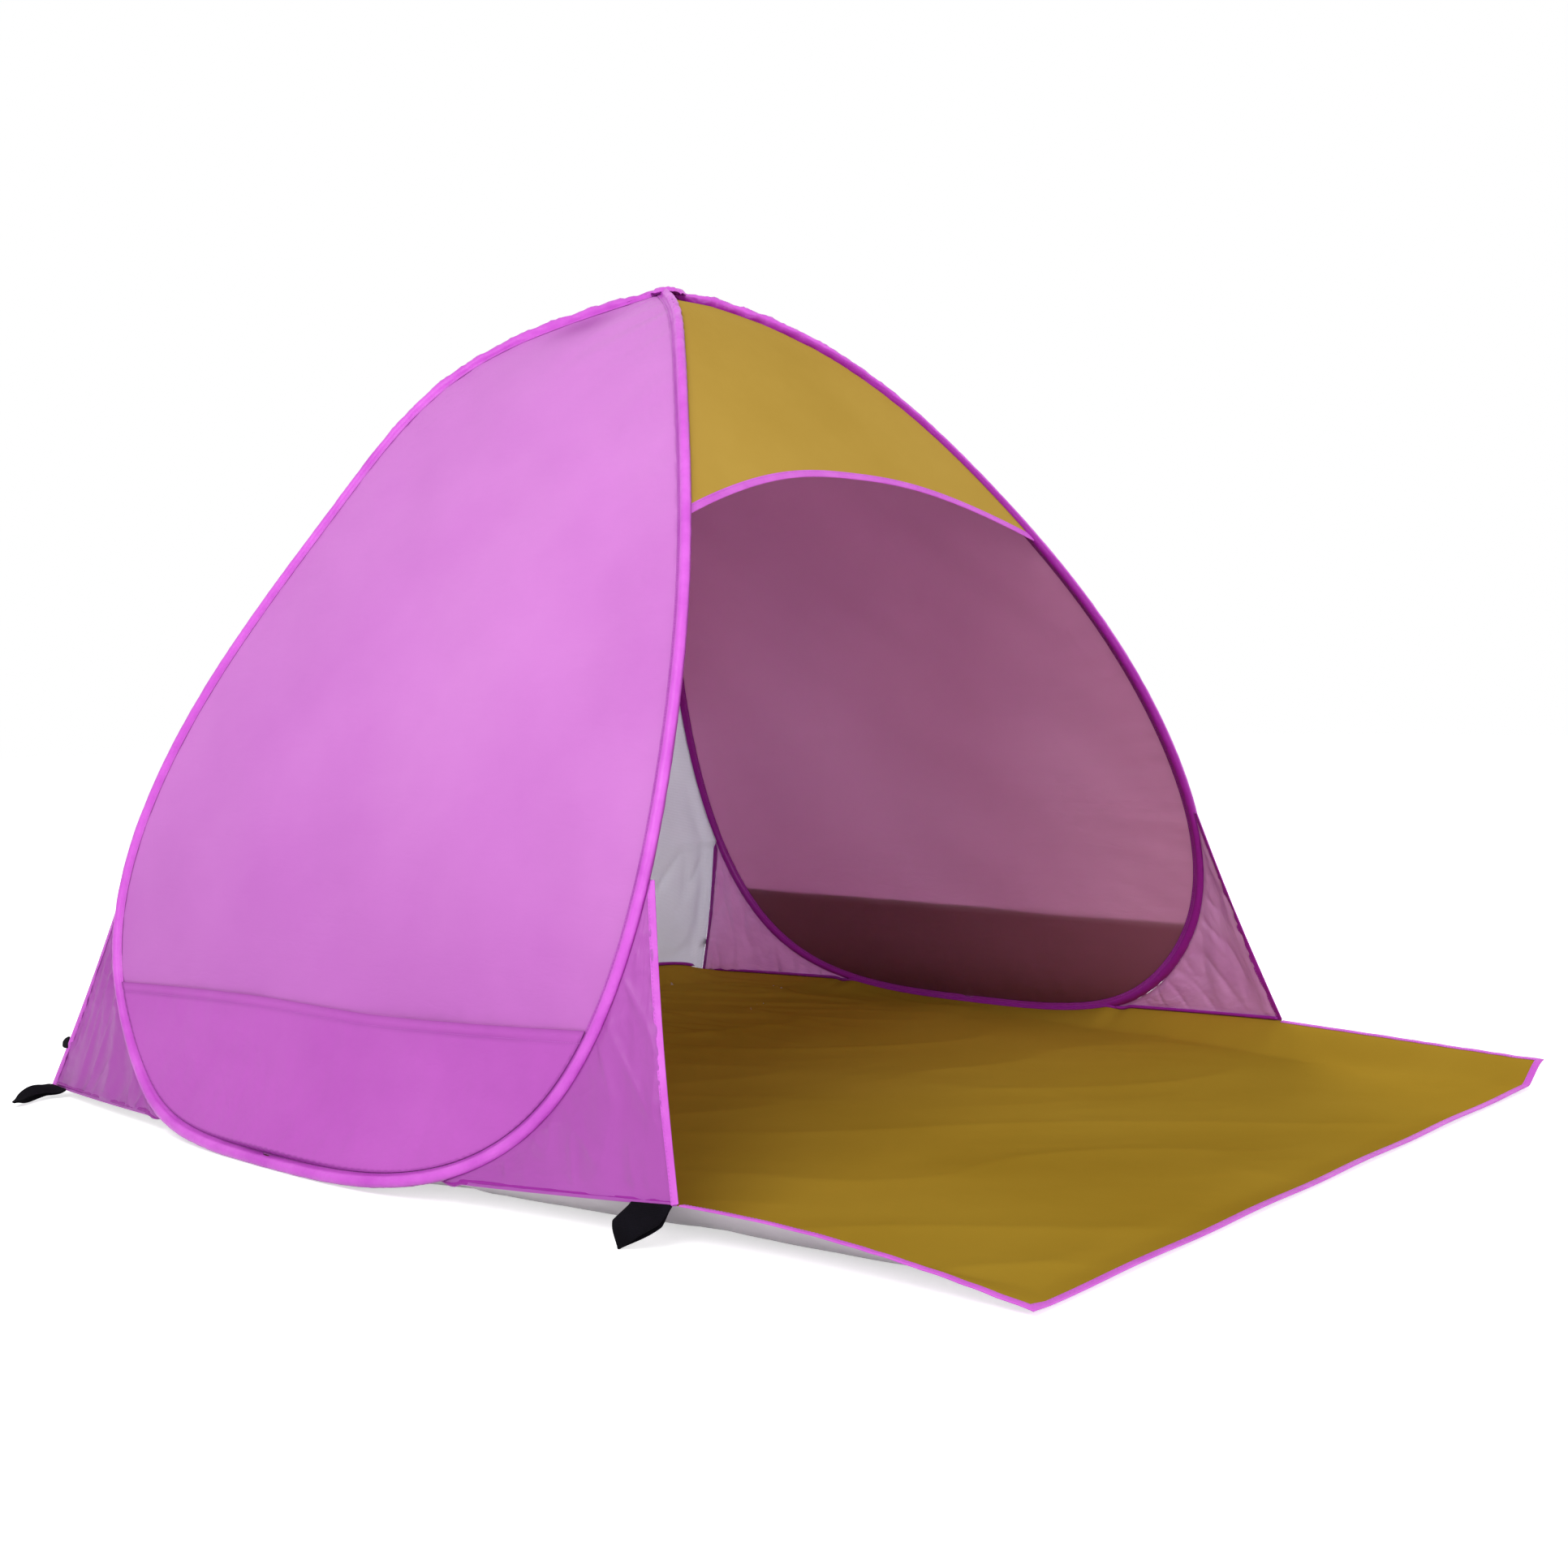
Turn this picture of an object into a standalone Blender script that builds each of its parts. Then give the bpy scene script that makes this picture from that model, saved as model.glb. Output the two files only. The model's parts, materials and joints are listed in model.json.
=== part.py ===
"""Pop-up beach tent with two leaf-shaped spring hoops, a doorway, a rear window and a floor with an apron.

The right half is worked out and mirrored for the left. +X is to the right, the doorway faces -Y, +Z is up,
and the origin is on the ground under the apex.
"""
import math

import bmesh
import bpy
import numpy as np

MM = 0.001

# Pitched size of the tent
TENT_HEIGHT = 1100 * MM
FOOT_HALF_WIDTH = 690 * MM
HOOP_HALF_DEPTH = 485 * MM
APEX_HALF_SPREAD = 10 * MM
FRONT_CORNER_HALF_WIDTH = 622 * MM
FRONT_CORNER_REACH = 608 * MM
FRONT_CORNER_LIFT = 44 * MM
REAR_CORNER_HALF_WIDTH = 642 * MM
REAR_CORNER_REACH = 586 * MM
REAR_CORNER_LIFT = 10 * MM
APRON_DEPTH = 374 * MM
APRON_HALF_WIDTH = 597 * MM
APRON_LIE = 30 * MM
APRON_RIGHT_LIFT = 30 * MM

# Levels of the seams on the hoops, above the ground
ARCH_END_HEIGHT = 742 * MM
ARCH_RISE = 66 * MM
WINDOW_TOP_HEIGHT = 512 * MM
FRONT_GUSSET_TOP_HEIGHT = 350 * MM
REAR_GUSSET_TOP_HEIGHT = 262 * MM
FRONT_GUSSET_FOOT_HEIGHT = 45 * MM
REAR_GUSSET_FOOT_HEIGHT = 34 * MM
POCKET_HEM_HEIGHT = 172 * MM

# Cloth, seams and clearances
CLOTH = 1.2 * MM
GAP = 0.3 * MM
SEAM_SLACK = 0.6 * MM
BINDING_WALL = 1.0 * MM
BINDING_GAP = 0.4 * MM
BINDING_DEPTH = 10 * MM
TAPE_SETBACK_SHARE = 0.1
STATION_PITCH = 66 * MM
FOOT_STATION_PITCH = 120 * MM
PROBE = 1.3 * MM
WELD = 0.0003 * MM
BISECTIONS = 60

# Frame wire and the tunnel that holds it
WIRE_RADIUS = 1.75 * MM
FERRULE_WALL = 0.6 * MM
FERRULE_LENGTH = 40 * MM
SLEEVE_RADIUS = 6.5 * MM
SLEEVE_WALL = 1.0 * MM
LIP_LENGTH = 5 * MM
PANEL_TUCK = 3.5 * MM
LEAST_LIP_SHARE = 1.02

# Outline of a hoop: level, spread from the centre, reach to the front, reach to the rear
HOOP_SHARES = (
    (1.000, 0.000, 0.000, 0.000),
    (0.942, 0.156, 0.266, 0.441),
    (0.738, 0.441, 0.680, 0.724),
    (0.421, 0.729, 1.000, 0.988),
    (0.152, 0.888, 0.961, 0.930),
    (0.033, 0.956, 0.666, 0.625),
    (0.000, 1.000, 0.000, 0.000),
)

SHARP_ANGLE = math.radians(35)

FRONT = -1
REAR = 1
LEFT = -1
RIGHT = 1
SIDE_NAMES = {LEFT: "left", RIGHT: "right"}
END_NAMES = {FRONT: "front", REAR: "rear"}

FOOT_LEVEL = SLEEVE_RADIUS
CAP_CLOTH = CLOTH
TIP_LEVEL = TENT_HEIGHT - SLEEVE_RADIUS - GAP - CAP_CLOTH


def clear_scene():
    for old in list(bpy.data.objects):
        bpy.data.objects.remove(old, do_unlink=True)


def material(name, colour, roughness, metallic=0.0):
    finish = bpy.data.materials.new(name)
    finish.use_nodes = True
    shader = finish.node_tree.nodes["Principled BSDF"]
    shader.inputs["Base Color"].default_value = (*colour, 1.0)
    shader.inputs["Roughness"].default_value = roughness
    shader.inputs["Metallic"].default_value = metallic
    return finish


def add_object(name, mesh_builder, finish, origin=(0.0, 0.0, 0.0)):
    """Turn a bmesh into a named object whose origin is the given point."""
    bmesh.ops.remove_doubles(mesh_builder, verts=mesh_builder.verts, dist=WELD)
    bmesh.ops.recalc_face_normals(mesh_builder, faces=mesh_builder.faces)
    bmesh.ops.translate(mesh_builder, verts=mesh_builder.verts, vec=[-value for value in origin])
    mesh = bpy.data.meshes.new(name)
    mesh_builder.to_mesh(mesh)
    mesh_builder.free()
    mesh.shade_smooth()
    mesh.set_sharp_from_angle(angle=SHARP_ANGLE)
    mesh.materials.append(finish)
    piece = bpy.data.objects.new(name, mesh)
    piece.location = origin
    bpy.context.collection.objects.link(piece)
    return piece


def unit(vectors):
    vectors = np.asarray(vectors, dtype=float)
    return vectors / np.linalg.norm(vectors, axis=-1, keepdims=True)


def mirrored(points, side):
    """The right half's points, turned over to the left where side is -1."""
    return np.asarray(points, dtype=float) * np.array([side, 1.0, 1.0])


def cubic(knots, values, level_end):
    """A cubic spline through the values; level_end makes its last slope zero."""
    count = len(knots)
    step = np.diff(knots)
    slope = np.diff(values) / step
    system = np.zeros((count, count))
    target = np.zeros(count)
    system[0, 0] = 1.0
    for i in range(1, count - 1):
        system[i, i - 1:i + 2] = step[i - 1], 2.0 * (step[i - 1] + step[i]), step[i]
        target[i] = 6.0 * (slope[i] - slope[i - 1])
    system[-1, -1] = 1.0
    if level_end:
        system[-1, -2:] = step[-1], 2.0 * step[-1]
        target[-1] = -6.0 * slope[-1]
    bend = np.linalg.solve(system, target)

    def evaluate(where):
        where = np.atleast_1d(np.asarray(where, dtype=float))
        i = np.clip(np.searchsorted(knots, where, side="right") - 1, 0, count - 2)
        a = (knots[i + 1] - where) / step[i]
        b = (where - knots[i]) / step[i]
        curve = ((a**3 - a) * bend[i] + (b**3 - b) * bend[i + 1]) * step[i]**2 / 6.0
        return a * values[i] + b * values[i + 1] + curve

    return evaluate


def chord_lengths(points):
    return np.concatenate([[0.0], np.cumsum(np.linalg.norm(np.diff(points, axis=0), axis=1))])


def make_outline():
    """The side panel's profile seen from the front and the hoop's two reaches, over the run from the tip."""
    share = np.array(HOOP_SHARES)
    level = FOOT_LEVEL + share[:, 0] * (TIP_LEVEL - FOOT_LEVEL)
    spread = APEX_HALF_SPREAD + share[:, 1] * (FOOT_HALF_WIDTH - APEX_HALF_SPREAD)
    front = share[:, 2] * HOOP_HALF_DEPTH
    rear = share[:, 3] * HOOP_HALF_DEPTH
    knots = chord_lengths(np.stack([spread, (front + rear) / 2.0, level], axis=1))
    profile_knots = chord_lengths(np.stack([spread, level], axis=1))
    spread_on_profile = cubic(profile_knots, spread, False)
    level_on_profile = cubic(profile_knots, level, False)
    down_profile = cubic(knots, profile_knots, True)
    return {
        "run": knots[-1],
        "profile": down_profile,
        "spread": lambda run: spread_on_profile(down_profile(run)),
        "level": lambda run: level_on_profile(down_profile(run)),
        "spread_on_profile": spread_on_profile,
        "level_on_profile": level_on_profile,
        FRONT: cubic(knots, front, False),
        REAR: cubic(knots, rear, False),
    }


OUTLINE = make_outline()


def on_hoop(run, end):
    """A point of the right hoop's centre line on its front or rear arc."""
    return np.stack([OUTLINE["spread"](run), end * OUTLINE[end](run), OUTLINE["level"](run)], axis=-1)


def run_at_level(level):
    """The run from the tip at which the hoop passes a level."""
    low, high = 0.0, OUTLINE["run"]
    for _ in range(BISECTIONS):
        middle = (low + high) / 2.0
        if OUTLINE["level"](middle)[0] > level:
            low = middle
        else:
            high = middle
    return low


def run_at_width(width):
    """The run from the tip at which the front and rear arcs lie a width apart."""
    low, high = 0.0, OUTLINE["run"] / 2.0
    for _ in range(BISECTIONS):
        middle = (low + high) / 2.0
        if OUTLINE[FRONT](middle)[0] + OUTLINE[REAR](middle)[0] < width:
            low = middle
        else:
            high = middle
    return high


# Stations: shared places along both arcs, so that every cloth that meets a hoop has its edge points there
TUBE_GAP_AT_TIP = 4 * MM
TIP_RUN = run_at_width(2.0 * SLEEVE_RADIUS + TUBE_GAP_AT_TIP)
FOOT_RUN = OUTLINE["run"]
ARCH_RUN = run_at_level(ARCH_END_HEIGHT)
WINDOW_RUN = run_at_level(WINDOW_TOP_HEIGHT)
GUSSET_RUN = {FRONT: run_at_level(FRONT_GUSSET_TOP_HEIGHT), REAR: run_at_level(REAR_GUSSET_TOP_HEIGHT)}
POCKET_RUN = run_at_level(POCKET_HEM_HEIGHT)
GUSSET_FOOT_HEIGHT = {FRONT: FRONT_GUSSET_FOOT_HEIGHT, REAR: REAR_GUSSET_FOOT_HEIGHT}
GUSSET_FOOT_RUN = {end: run_at_level(height) for end, height in GUSSET_FOOT_HEIGHT.items()}


def make_stations():
    seams = (ARCH_RUN, WINDOW_RUN, POCKET_RUN, *GUSSET_RUN.values(), *GUSSET_FOOT_RUN.values())
    marks = sorted({TIP_RUN, FOOT_RUN, *seams})
    runs = [marks[0]]
    for start, stop in zip(marks, marks[1:]):
        pitch = FOOT_STATION_PITCH if stop == FOOT_RUN else STATION_PITCH
        steps = max(1, math.ceil((stop - start) / pitch))
        runs.extend(start + (stop - start) * k / steps for k in range(1, steps + 1))
    return np.array(runs)


STATIONS = make_stations()
FOOT = len(STATIONS) - 1


def station(run):
    return int(np.argmin(np.abs(STATIONS - run)))


def panel_normals():
    """Outward normals of the side panel at the stations; the panel is flat from front to rear."""
    place = OUTLINE["profile"](STATIONS)
    rise = OUTLINE["level_on_profile"](place + PROBE) - OUTLINE["level_on_profile"](place - PROBE)
    going = OUTLINE["spread_on_profile"](place + PROBE) - OUTLINE["spread_on_profile"](place - PROBE)
    return unit(np.stack([-rise, np.zeros_like(rise), going], axis=-1))


NORMALS = panel_normals()
PANEL_MIDDLE_SHARE = 0.55


def arc_frames(end):
    """Centre points of one arc of the right hoop, the way along it, and the way into the panel."""
    points = on_hoop(STATIONS, end)
    ahead = on_hoop(np.minimum(STATIONS + PROBE, FOOT_RUN), end)
    back = on_hoop(STATIONS - PROBE, end)
    along = unit(ahead - back)
    inward = unit(np.cross(NORMALS, along))
    middle = on_hoop(np.array([FOOT_RUN * PANEL_MIDDLE_SHARE]), FRONT)[0] * np.array([1.0, 0.0, 1.0])
    towards = middle - points
    flip = np.where(np.sum(inward * towards, axis=1) < 0.0, -1.0, 1.0)
    return points, along, inward * flip[:, None]


ARCS = {end: arc_frames(end) for end in (FRONT, REAR)}


def whole_hoop():
    """The right hoop from its front tip round the foot to its rear tip: points, ways inward, normals."""
    front_points, _, front_inward = ARCS[FRONT]
    rear_points, _, rear_inward = ARCS[REAR]
    points = np.concatenate([front_points, rear_points[-2::-1]])
    inward = np.concatenate([front_inward, rear_inward[-2::-1]])
    normals = np.concatenate([NORMALS, NORMALS[-2::-1]])
    return points, inward, normals


def sweep(name, rings, finish, origin=(0.0, 0.0, 0.0), folded=True, turned=None):
    """A solid from a row of like section outlines, closed at both ends.

    A folded section goes out along one face of a strip and back along the other, so each point has its
    partner counted from the end. turned names, for each length between two sections, the sides whose diagonal
    runs the other way.
    """
    rings = np.asarray(rings, dtype=float)
    turned = turned or [()] * (len(rings) - 1)
    builder = bmesh.new()
    verts = [[builder.verts.new(point) for point in ring] for ring in rings]
    size = len(verts[0])
    for ring, following, other_way in zip(verts, verts[1:], turned):
        for k in range(size):
            after = (k + 1) % size
            if k in other_way:
                builder.faces.new((ring[k], ring[after], following[k]))
                builder.faces.new((ring[after], following[after], following[k]))
            else:
                builder.faces.new((ring[k], ring[after], following[after]))
                builder.faces.new((ring[k], following[after], following[k]))
    for ring in (verts[0], verts[-1]):
        if not folded:
            builder.faces.new(ring)
            continue
        for k in range(size // 2 - 1):
            builder.faces.new((ring[k], ring[k + 1], ring[size - 2 - k], ring[size - 1 - k]))
    return add_object(name, builder, finish, origin)


def grid_normals(grid):
    """Normals of a grid of points, held over from the next row where a row shrinks to one point."""
    down = np.gradient(grid, axis=0)
    across = np.gradient(grid, axis=1)
    widths = np.linalg.norm(grid[:, -1] - grid[:, 0], axis=1)
    normals = np.cross(down, across)
    if widths[-1] < GAP:
        normals[-1] = np.mean(normals[-2], axis=0)
    return unit(normals)


def sheet(name, grid, finish, normals=None):
    """A cloth of even thickness whose middle lies on a grid of points."""
    grid = np.asarray(grid, dtype=float)
    normals = grid_normals(grid) if normals is None else normals
    builder = bmesh.new()
    faces = []
    for offset in (CLOTH / 2.0, -CLOTH / 2.0):
        faces.append([[builder.verts.new(point) for point in row] for row in grid + normals * offset])
    rows, columns = grid.shape[:2]
    for face in faces:
        for i in range(rows - 1):
            for j in range(columns - 1):
                corners = face[i][j], face[i][j + 1], face[i + 1][j + 1], face[i + 1][j]
                add_triangle(builder, corners[0], corners[1], corners[2])
                add_triangle(builder, corners[0], corners[2], corners[3])
    rim = [(0, j) for j in range(columns)] + [(i, columns - 1) for i in range(1, rows)]
    rim += [(rows - 1, j) for j in range(columns - 2, -1, -1)] + [(i, 0) for i in range(rows - 2, 0, -1)]
    for (i, j), (k, m) in zip(rim, rim[1:] + rim[:1]):
        add_triangle(builder, faces[0][i][j], faces[0][k][m], faces[1][k][m])
        add_triangle(builder, faces[0][i][j], faces[1][k][m], faces[1][i][j])
    return add_object(name, builder, finish)


def add_triangle(builder, first, second, third):
    """A face, left out where two of its corners are the same point."""
    corners = (first, second, third)
    for one, other in zip(corners, corners[1:] + corners[:1]):
        if (one.co - other.co).length < WELD:
            return
    builder.faces.new(corners)


def lerp_rows(starts, ends, shares):
    """Rows of points between two lines of points."""
    shares = np.asarray(shares, dtype=float)[None, :, None]
    return starts[:, None, :] * (1.0 - shares) + ends[:, None, :] * shares


def edge_binding(name, grid, cells, finish, side=RIGHT, trim=(0.0, 0.0)):
    """A folded tape over the edge of a cloth.

    cells pairs each grid point on the edge with the grid point that lies the tape's depth inside it. The tape
    turns its facets as the cloth does, so the clearance between them stays even.
    """
    inner = CLOTH / 2.0 + BINDING_GAP
    outer = inner + BINDING_WALL
    nose = GAP + BINDING_WALL
    normals = grid_normals(grid)
    rings = []
    for rim, deep in cells:
        edge, root = grid[rim], grid[deep]
        away = unit(edge - root) * max(1.0, np.sqrt(sum(abs(a - b) for a, b in zip(rim, deep))))
        lip, bed = normals[rim], normals[deep]
        root = root + (edge - root) * TAPE_SETBACK_SHARE
        rings.append([
            root + bed * outer,
            edge + away * nose + lip * outer,
            edge + away * nose - lip * outer,
            root - bed * outer,
            root - bed * inner,
            edge + away * GAP - lip * inner,
            edge + away * GAP + lip * inner,
            root + bed * inner,
        ])
    rings = np.array(rings)
    for tip, neighbour, share in ((0, 1, trim[0]), (-1, -2, trim[1])):
        rings[tip] = rings[tip] + (rings[neighbour] - rings[tip]) * share
    turned = []
    for (rim, deep), (next_rim, next_deep) in zip(cells, cells[1:]):
        leads_inward = (next_deep[0] - rim[0]) * (next_deep[1] - rim[1]) > 0
        turned.append((0, 4) if leads_inward else (2, 6))
    return sweep(name, mirrored(rings, side), finish, turned=turned)


# Frame wires and their tunnels

FERRULE_RADIUS = WIRE_RADIUS + GAP + FERRULE_WALL
BORE_RADIUS = SLEEVE_RADIUS - SLEEVE_WALL
BORE_POINTS = 8
SKIN_POINTS = 8
BORE_FLAT_RADIUS = BORE_RADIUS * math.cos(math.pi / (BORE_POINTS - 1))
WIRE_OUTSET = BORE_FLAT_RADIUS - FERRULE_RADIUS - GAP
WIRE_END_GAP = 0.6 * MM
WIRE_SIDES = 7
TIP_PULL_SHARE = 1.3
TIP_BEND_STEPS = 8
LIP_INNER = CLOTH / 2.0 + SEAM_SLACK
LIP_OUTER = LIP_INNER + SLEEVE_WALL
LIP_REACH = SLEEVE_RADIUS + LIP_LENGTH


def circle(radius, sides):
    turn = 2.0 * math.pi / sides
    return [(radius * math.cos(turn * k), radius * math.sin(turn * k)) for k in range(sides)]


def line_frames(points, up):
    """Cross directions along an open line of points, steadied by a guide direction for each point."""
    along = unit(np.gradient(points, axis=0))
    first = unit(up - np.sum(up * along, axis=1, keepdims=True) * along)
    return first, np.cross(along, first)


def round_bar(name, points, up, radius, finish):
    first, second = line_frames(points, up)
    outline = circle(radius, WIRE_SIDES)
    rings = [[p + a * f + b * s for a, b in outline] for p, f, s in zip(points, first, second)]
    return sweep(name, rings, finish, folded=False)


def wire_line():
    """The wire from one end at the foot, up the front arc, round the tip and down the rear arc."""
    points, inward, normals = whole_hoop()
    points = points - inward * WIRE_OUTSET
    foot = FOOT
    front_up = points[foot::-1]
    rear_down = points[:foot - 1:-1]
    start, stop = front_up[-1], rear_down[0]
    pull = np.linalg.norm(stop - start) * TIP_PULL_SHARE
    leave = unit(front_up[-1] - front_up[-2]) * pull
    arrive = unit(rear_down[1] - rear_down[0]) * pull
    bend = []
    for k in range(1, TIP_BEND_STEPS):
        s = k / TIP_BEND_STEPS
        near_start = (2 * s**3 - 3 * s**2 + 1) * start + (s**3 - 2 * s**2 + s) * leave
        near_stop = (3 * s**2 - 2 * s**3) * stop + (s**3 - s**2) * arrive
        bend.append(near_start + near_stop)
    line = np.concatenate([front_up, bend, rear_down])
    line[0] += unit(line[1] - line[0]) * WIRE_END_GAP / 2.0
    line[-1] += unit(line[-2] - line[-1]) * WIRE_END_GAP / 2.0
    tip_normals = np.repeat(normals[:1], len(bend), axis=0)
    return line, np.concatenate([normals[foot::-1], tip_normals, normals[:foot + 1]])


def hoop_wire(side, finish):
    line, guides = wire_line()
    name = SIDE_NAMES[side] + "_hoop_wire"
    round_bar(name, mirrored(line, side), mirrored(guides, side), WIRE_RADIUS, finish)


def wire_ferrule(side, finish):
    """The crimped tube that joins the two ends of the wire at the foot."""
    points, inward, normals = whole_hoop()
    centre = points[FOOT] - inward[FOOT] * WIRE_OUTSET
    line = []
    for neighbour in (FOOT - 1, FOOT + 1):
        away = unit(points[neighbour] - inward[neighbour] * WIRE_OUTSET - centre)
        line.append(centre + away * FERRULE_LENGTH / 2.0)
    line = np.array([line[0], centre, line[1]])
    line = mirrored(line, side)
    guides = mirrored(np.repeat(normals[FOOT:FOOT + 1], 3, axis=0), side)
    first, second = line_frames(line, guides)
    builder = bmesh.new()
    shells = []
    for radius in (FERRULE_RADIUS, WIRE_RADIUS + GAP):
        outline = circle(radius, WIRE_SIDES)
        shell = []
        for p, f, s in zip(line, first, second):
            shell.append([builder.verts.new(p + a * f + b * s) for a, b in outline])
        shells.append(shell)
    outer, inner = shells
    for shell in (outer, inner):
        for ring, following in zip(shell, shell[1:]):
            join_rings(builder, ring, following)
    join_rings(builder, outer[0], inner[0])
    join_rings(builder, outer[-1], inner[-1])
    add_object(SIDE_NAMES[side] + "_wire_ferrule", builder, finish)


def join_rings(builder, ring, following):
    for k in range(len(ring)):
        after = (k + 1) % len(ring)
        builder.faces.new((ring[k], ring[after], following[after], following[k]))


def hoop_sleeve(side, finish):
    """A tunnel round the wire whose two lips hold the edge of the side panel."""
    points, inward, normals = whole_hoop()
    front, rear = ARCS[FRONT][0], ARCS[REAR][0]
    half_widths = np.linalg.norm(front - rear, axis=1) / 2.0
    half_widths = np.concatenate([half_widths, half_widths[-2::-1]])
    near_tip = np.concatenate([STATIONS, STATIONS[-2::-1]]) < FOOT_RUN / 2.0
    open_angle = math.asin(LIP_OUTER / SLEEVE_RADIUS)
    bore_angle = math.asin(LIP_INNER / BORE_RADIUS)
    outer_turns = np.linspace(open_angle, 2.0 * math.pi - open_angle, SKIN_POINTS)
    bore_turns = np.linspace(2.0 * math.pi - bore_angle, bore_angle, BORE_POINTS)
    rings = []
    for point, into, normal, half, tip in zip(points, inward, normals, half_widths, near_tip):
        reach = min(LIP_REACH, half - GAP) if tip else LIP_REACH
        section = [(max(reach, SLEEVE_RADIUS * LEAST_LIP_SHARE), LIP_OUTER)]
        section += [(SLEEVE_RADIUS * math.cos(turn), SLEEVE_RADIUS * math.sin(turn)) for turn in outer_turns]
        section += [(section[0][0], -LIP_OUTER), (section[0][0], -LIP_INNER)]
        section += [(BORE_RADIUS * math.cos(turn), BORE_RADIUS * math.sin(turn)) for turn in bore_turns]
        section += [(section[0][0], LIP_INNER)]
        rings.append(mirrored([point + a * into + b * normal for a, b in section], side))
    sweep(SIDE_NAMES[side] + "_hoop_sleeve", rings, finish)


# Side panels and sand pockets

PANEL_COLUMNS = 8
POCKET_STANDOFF = 2.2 * MM
POCKET_BULGE = 12 * MM
POCKET_COLUMNS = 10
POCKET_ACROSS_POWER = 0.8
POCKET_SAG_POWER = 1.5
POCKET_DOWN_POWER = 0.9


def panel_grid(inset, first, columns):
    """Rows of the side panel from one station down to the foot, drawn in from the hoop by an inset."""
    edges = [ARCS[end][0][first:] + ARCS[end][2][first:] * inset for end in (FRONT, REAR)]
    grid = lerp_rows(edges[0], edges[1], np.linspace(0.0, 1.0, columns + 1))
    grid[-1] = np.mean(grid[-1], axis=0)
    return grid, np.repeat(NORMALS[first:][:, None, :], columns + 1, axis=1)


def side_panel(side, finish):
    grid, normals = panel_grid(SLEEVE_RADIUS + LIP_LENGTH - PANEL_TUCK, 0, PANEL_COLUMNS)
    narrow = np.linalg.norm(grid[:, -1] - grid[:, 0], axis=1) < 2.0 * LIP_REACH
    keep = [i for i in range(len(grid)) if not narrow[i] or i > FOOT // 2]
    sheet(SIDE_NAMES[side] + "_side_panel", mirrored(grid[keep], side), finish, mirrored(normals[keep], side))


def sand_pocket(side, finish):
    """A patch over the foot of the side panel, sewn at its round edge and slack along the bottom."""
    grid, normals = panel_grid(LIP_REACH + GAP, station(POCKET_RUN), POCKET_COLUMNS)
    rows, columns = grid.shape[:2]
    down = np.linspace(0.0, 1.0, rows)[:, None]
    across = np.linspace(0.0, 1.0, columns)[None, :]
    slack = np.sin(math.pi * across) ** POCKET_ACROSS_POWER
    slack = slack * np.sin(math.pi * down ** POCKET_SAG_POWER) ** POCKET_DOWN_POWER
    offset = POCKET_STANDOFF + POCKET_BULGE * slack
    grid = grid + normals * offset[:, :, None]
    sheet(SIDE_NAMES[side] + "_sand_pocket", mirrored(grid, side), finish, mirrored(normals, side))


# Floor sheet with its apron

SIDE_BAND = 70 * MM
END_BAND = 44 * MM
EDGE_LIFT = 4.5 * MM
EDGE_WAVE = 2.5 * MM
EDGE_HALF_WAVES = 5
SEAM_DROP = 17 * MM
SIDE_LIFT_POWER = 4.4
APRON_FALL_SHARE = 1.35
REAR_LIFT_POWER = 6
FLOOR_SIDE_CLEARANCE = 2.0 * MM
FLOOR_ROW_PITCH = 120 * MM
FLOOR_COLUMN_SHARES = (0.0, 0.25, 0.5, 0.75, 1.0)
CORNER_TRIM_SHARE = 0.08
SIDE_BAND_SHARES = (0.0, 0.45, 1.0 - BINDING_DEPTH / SIDE_BAND, 1.0)
END_BAND_SHARES = (0.0, 0.45, 1.0 - BINDING_DEPTH / END_BAND, 1.0)

FLOOR_MIDDLE_HALF_WIDTH = FOOT_HALF_WIDTH - SLEEVE_RADIUS - FLOOR_SIDE_CLEARANCE
CORNER_REACH = {FRONT: FRONT_CORNER_REACH, REAR: REAR_CORNER_REACH}
CORNER_LIFT = {FRONT: FRONT_CORNER_LIFT, REAR: REAR_CORNER_LIFT}
SEAM_REACH = {end: float(OUTLINE[end](GUSSET_FOOT_RUN[end])[0]) for end in (FRONT, REAR)}
SEAM_LIFT = {end: GUSSET_FOOT_HEIGHT[end] - SEAM_DROP for end in (FRONT, REAR)}


def apron_share(y):
    """How far out on the apron a place is: 0 at the doorway and behind it, 1 at the front edge."""
    return max(0.0, (-y - FRONT_CORNER_REACH) / APRON_DEPTH)


def floor_middle(y):
    """The middle of the floor along X; the apron lies a little to the right."""
    return APRON_LIE * apron_share(y)


def floor_half_width(y):
    """Half the floor's width at a place from rear to front; the apron narrows a little to its corners."""
    if y < -FRONT_CORNER_REACH:
        return FRONT_CORNER_HALF_WIDTH + (APRON_HALF_WIDTH - FRONT_CORNER_HALF_WIDTH) * apron_share(y)
    corner = FRONT_CORNER_HALF_WIDTH if y < 0.0 else REAR_CORNER_HALF_WIDTH
    reach = FRONT_CORNER_REACH if y < 0.0 else REAR_CORNER_REACH
    return FLOOR_MIDDLE_HALF_WIDTH + (corner - FLOOR_MIDDLE_HALF_WIDTH) * (y / reach) ** 2


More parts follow.
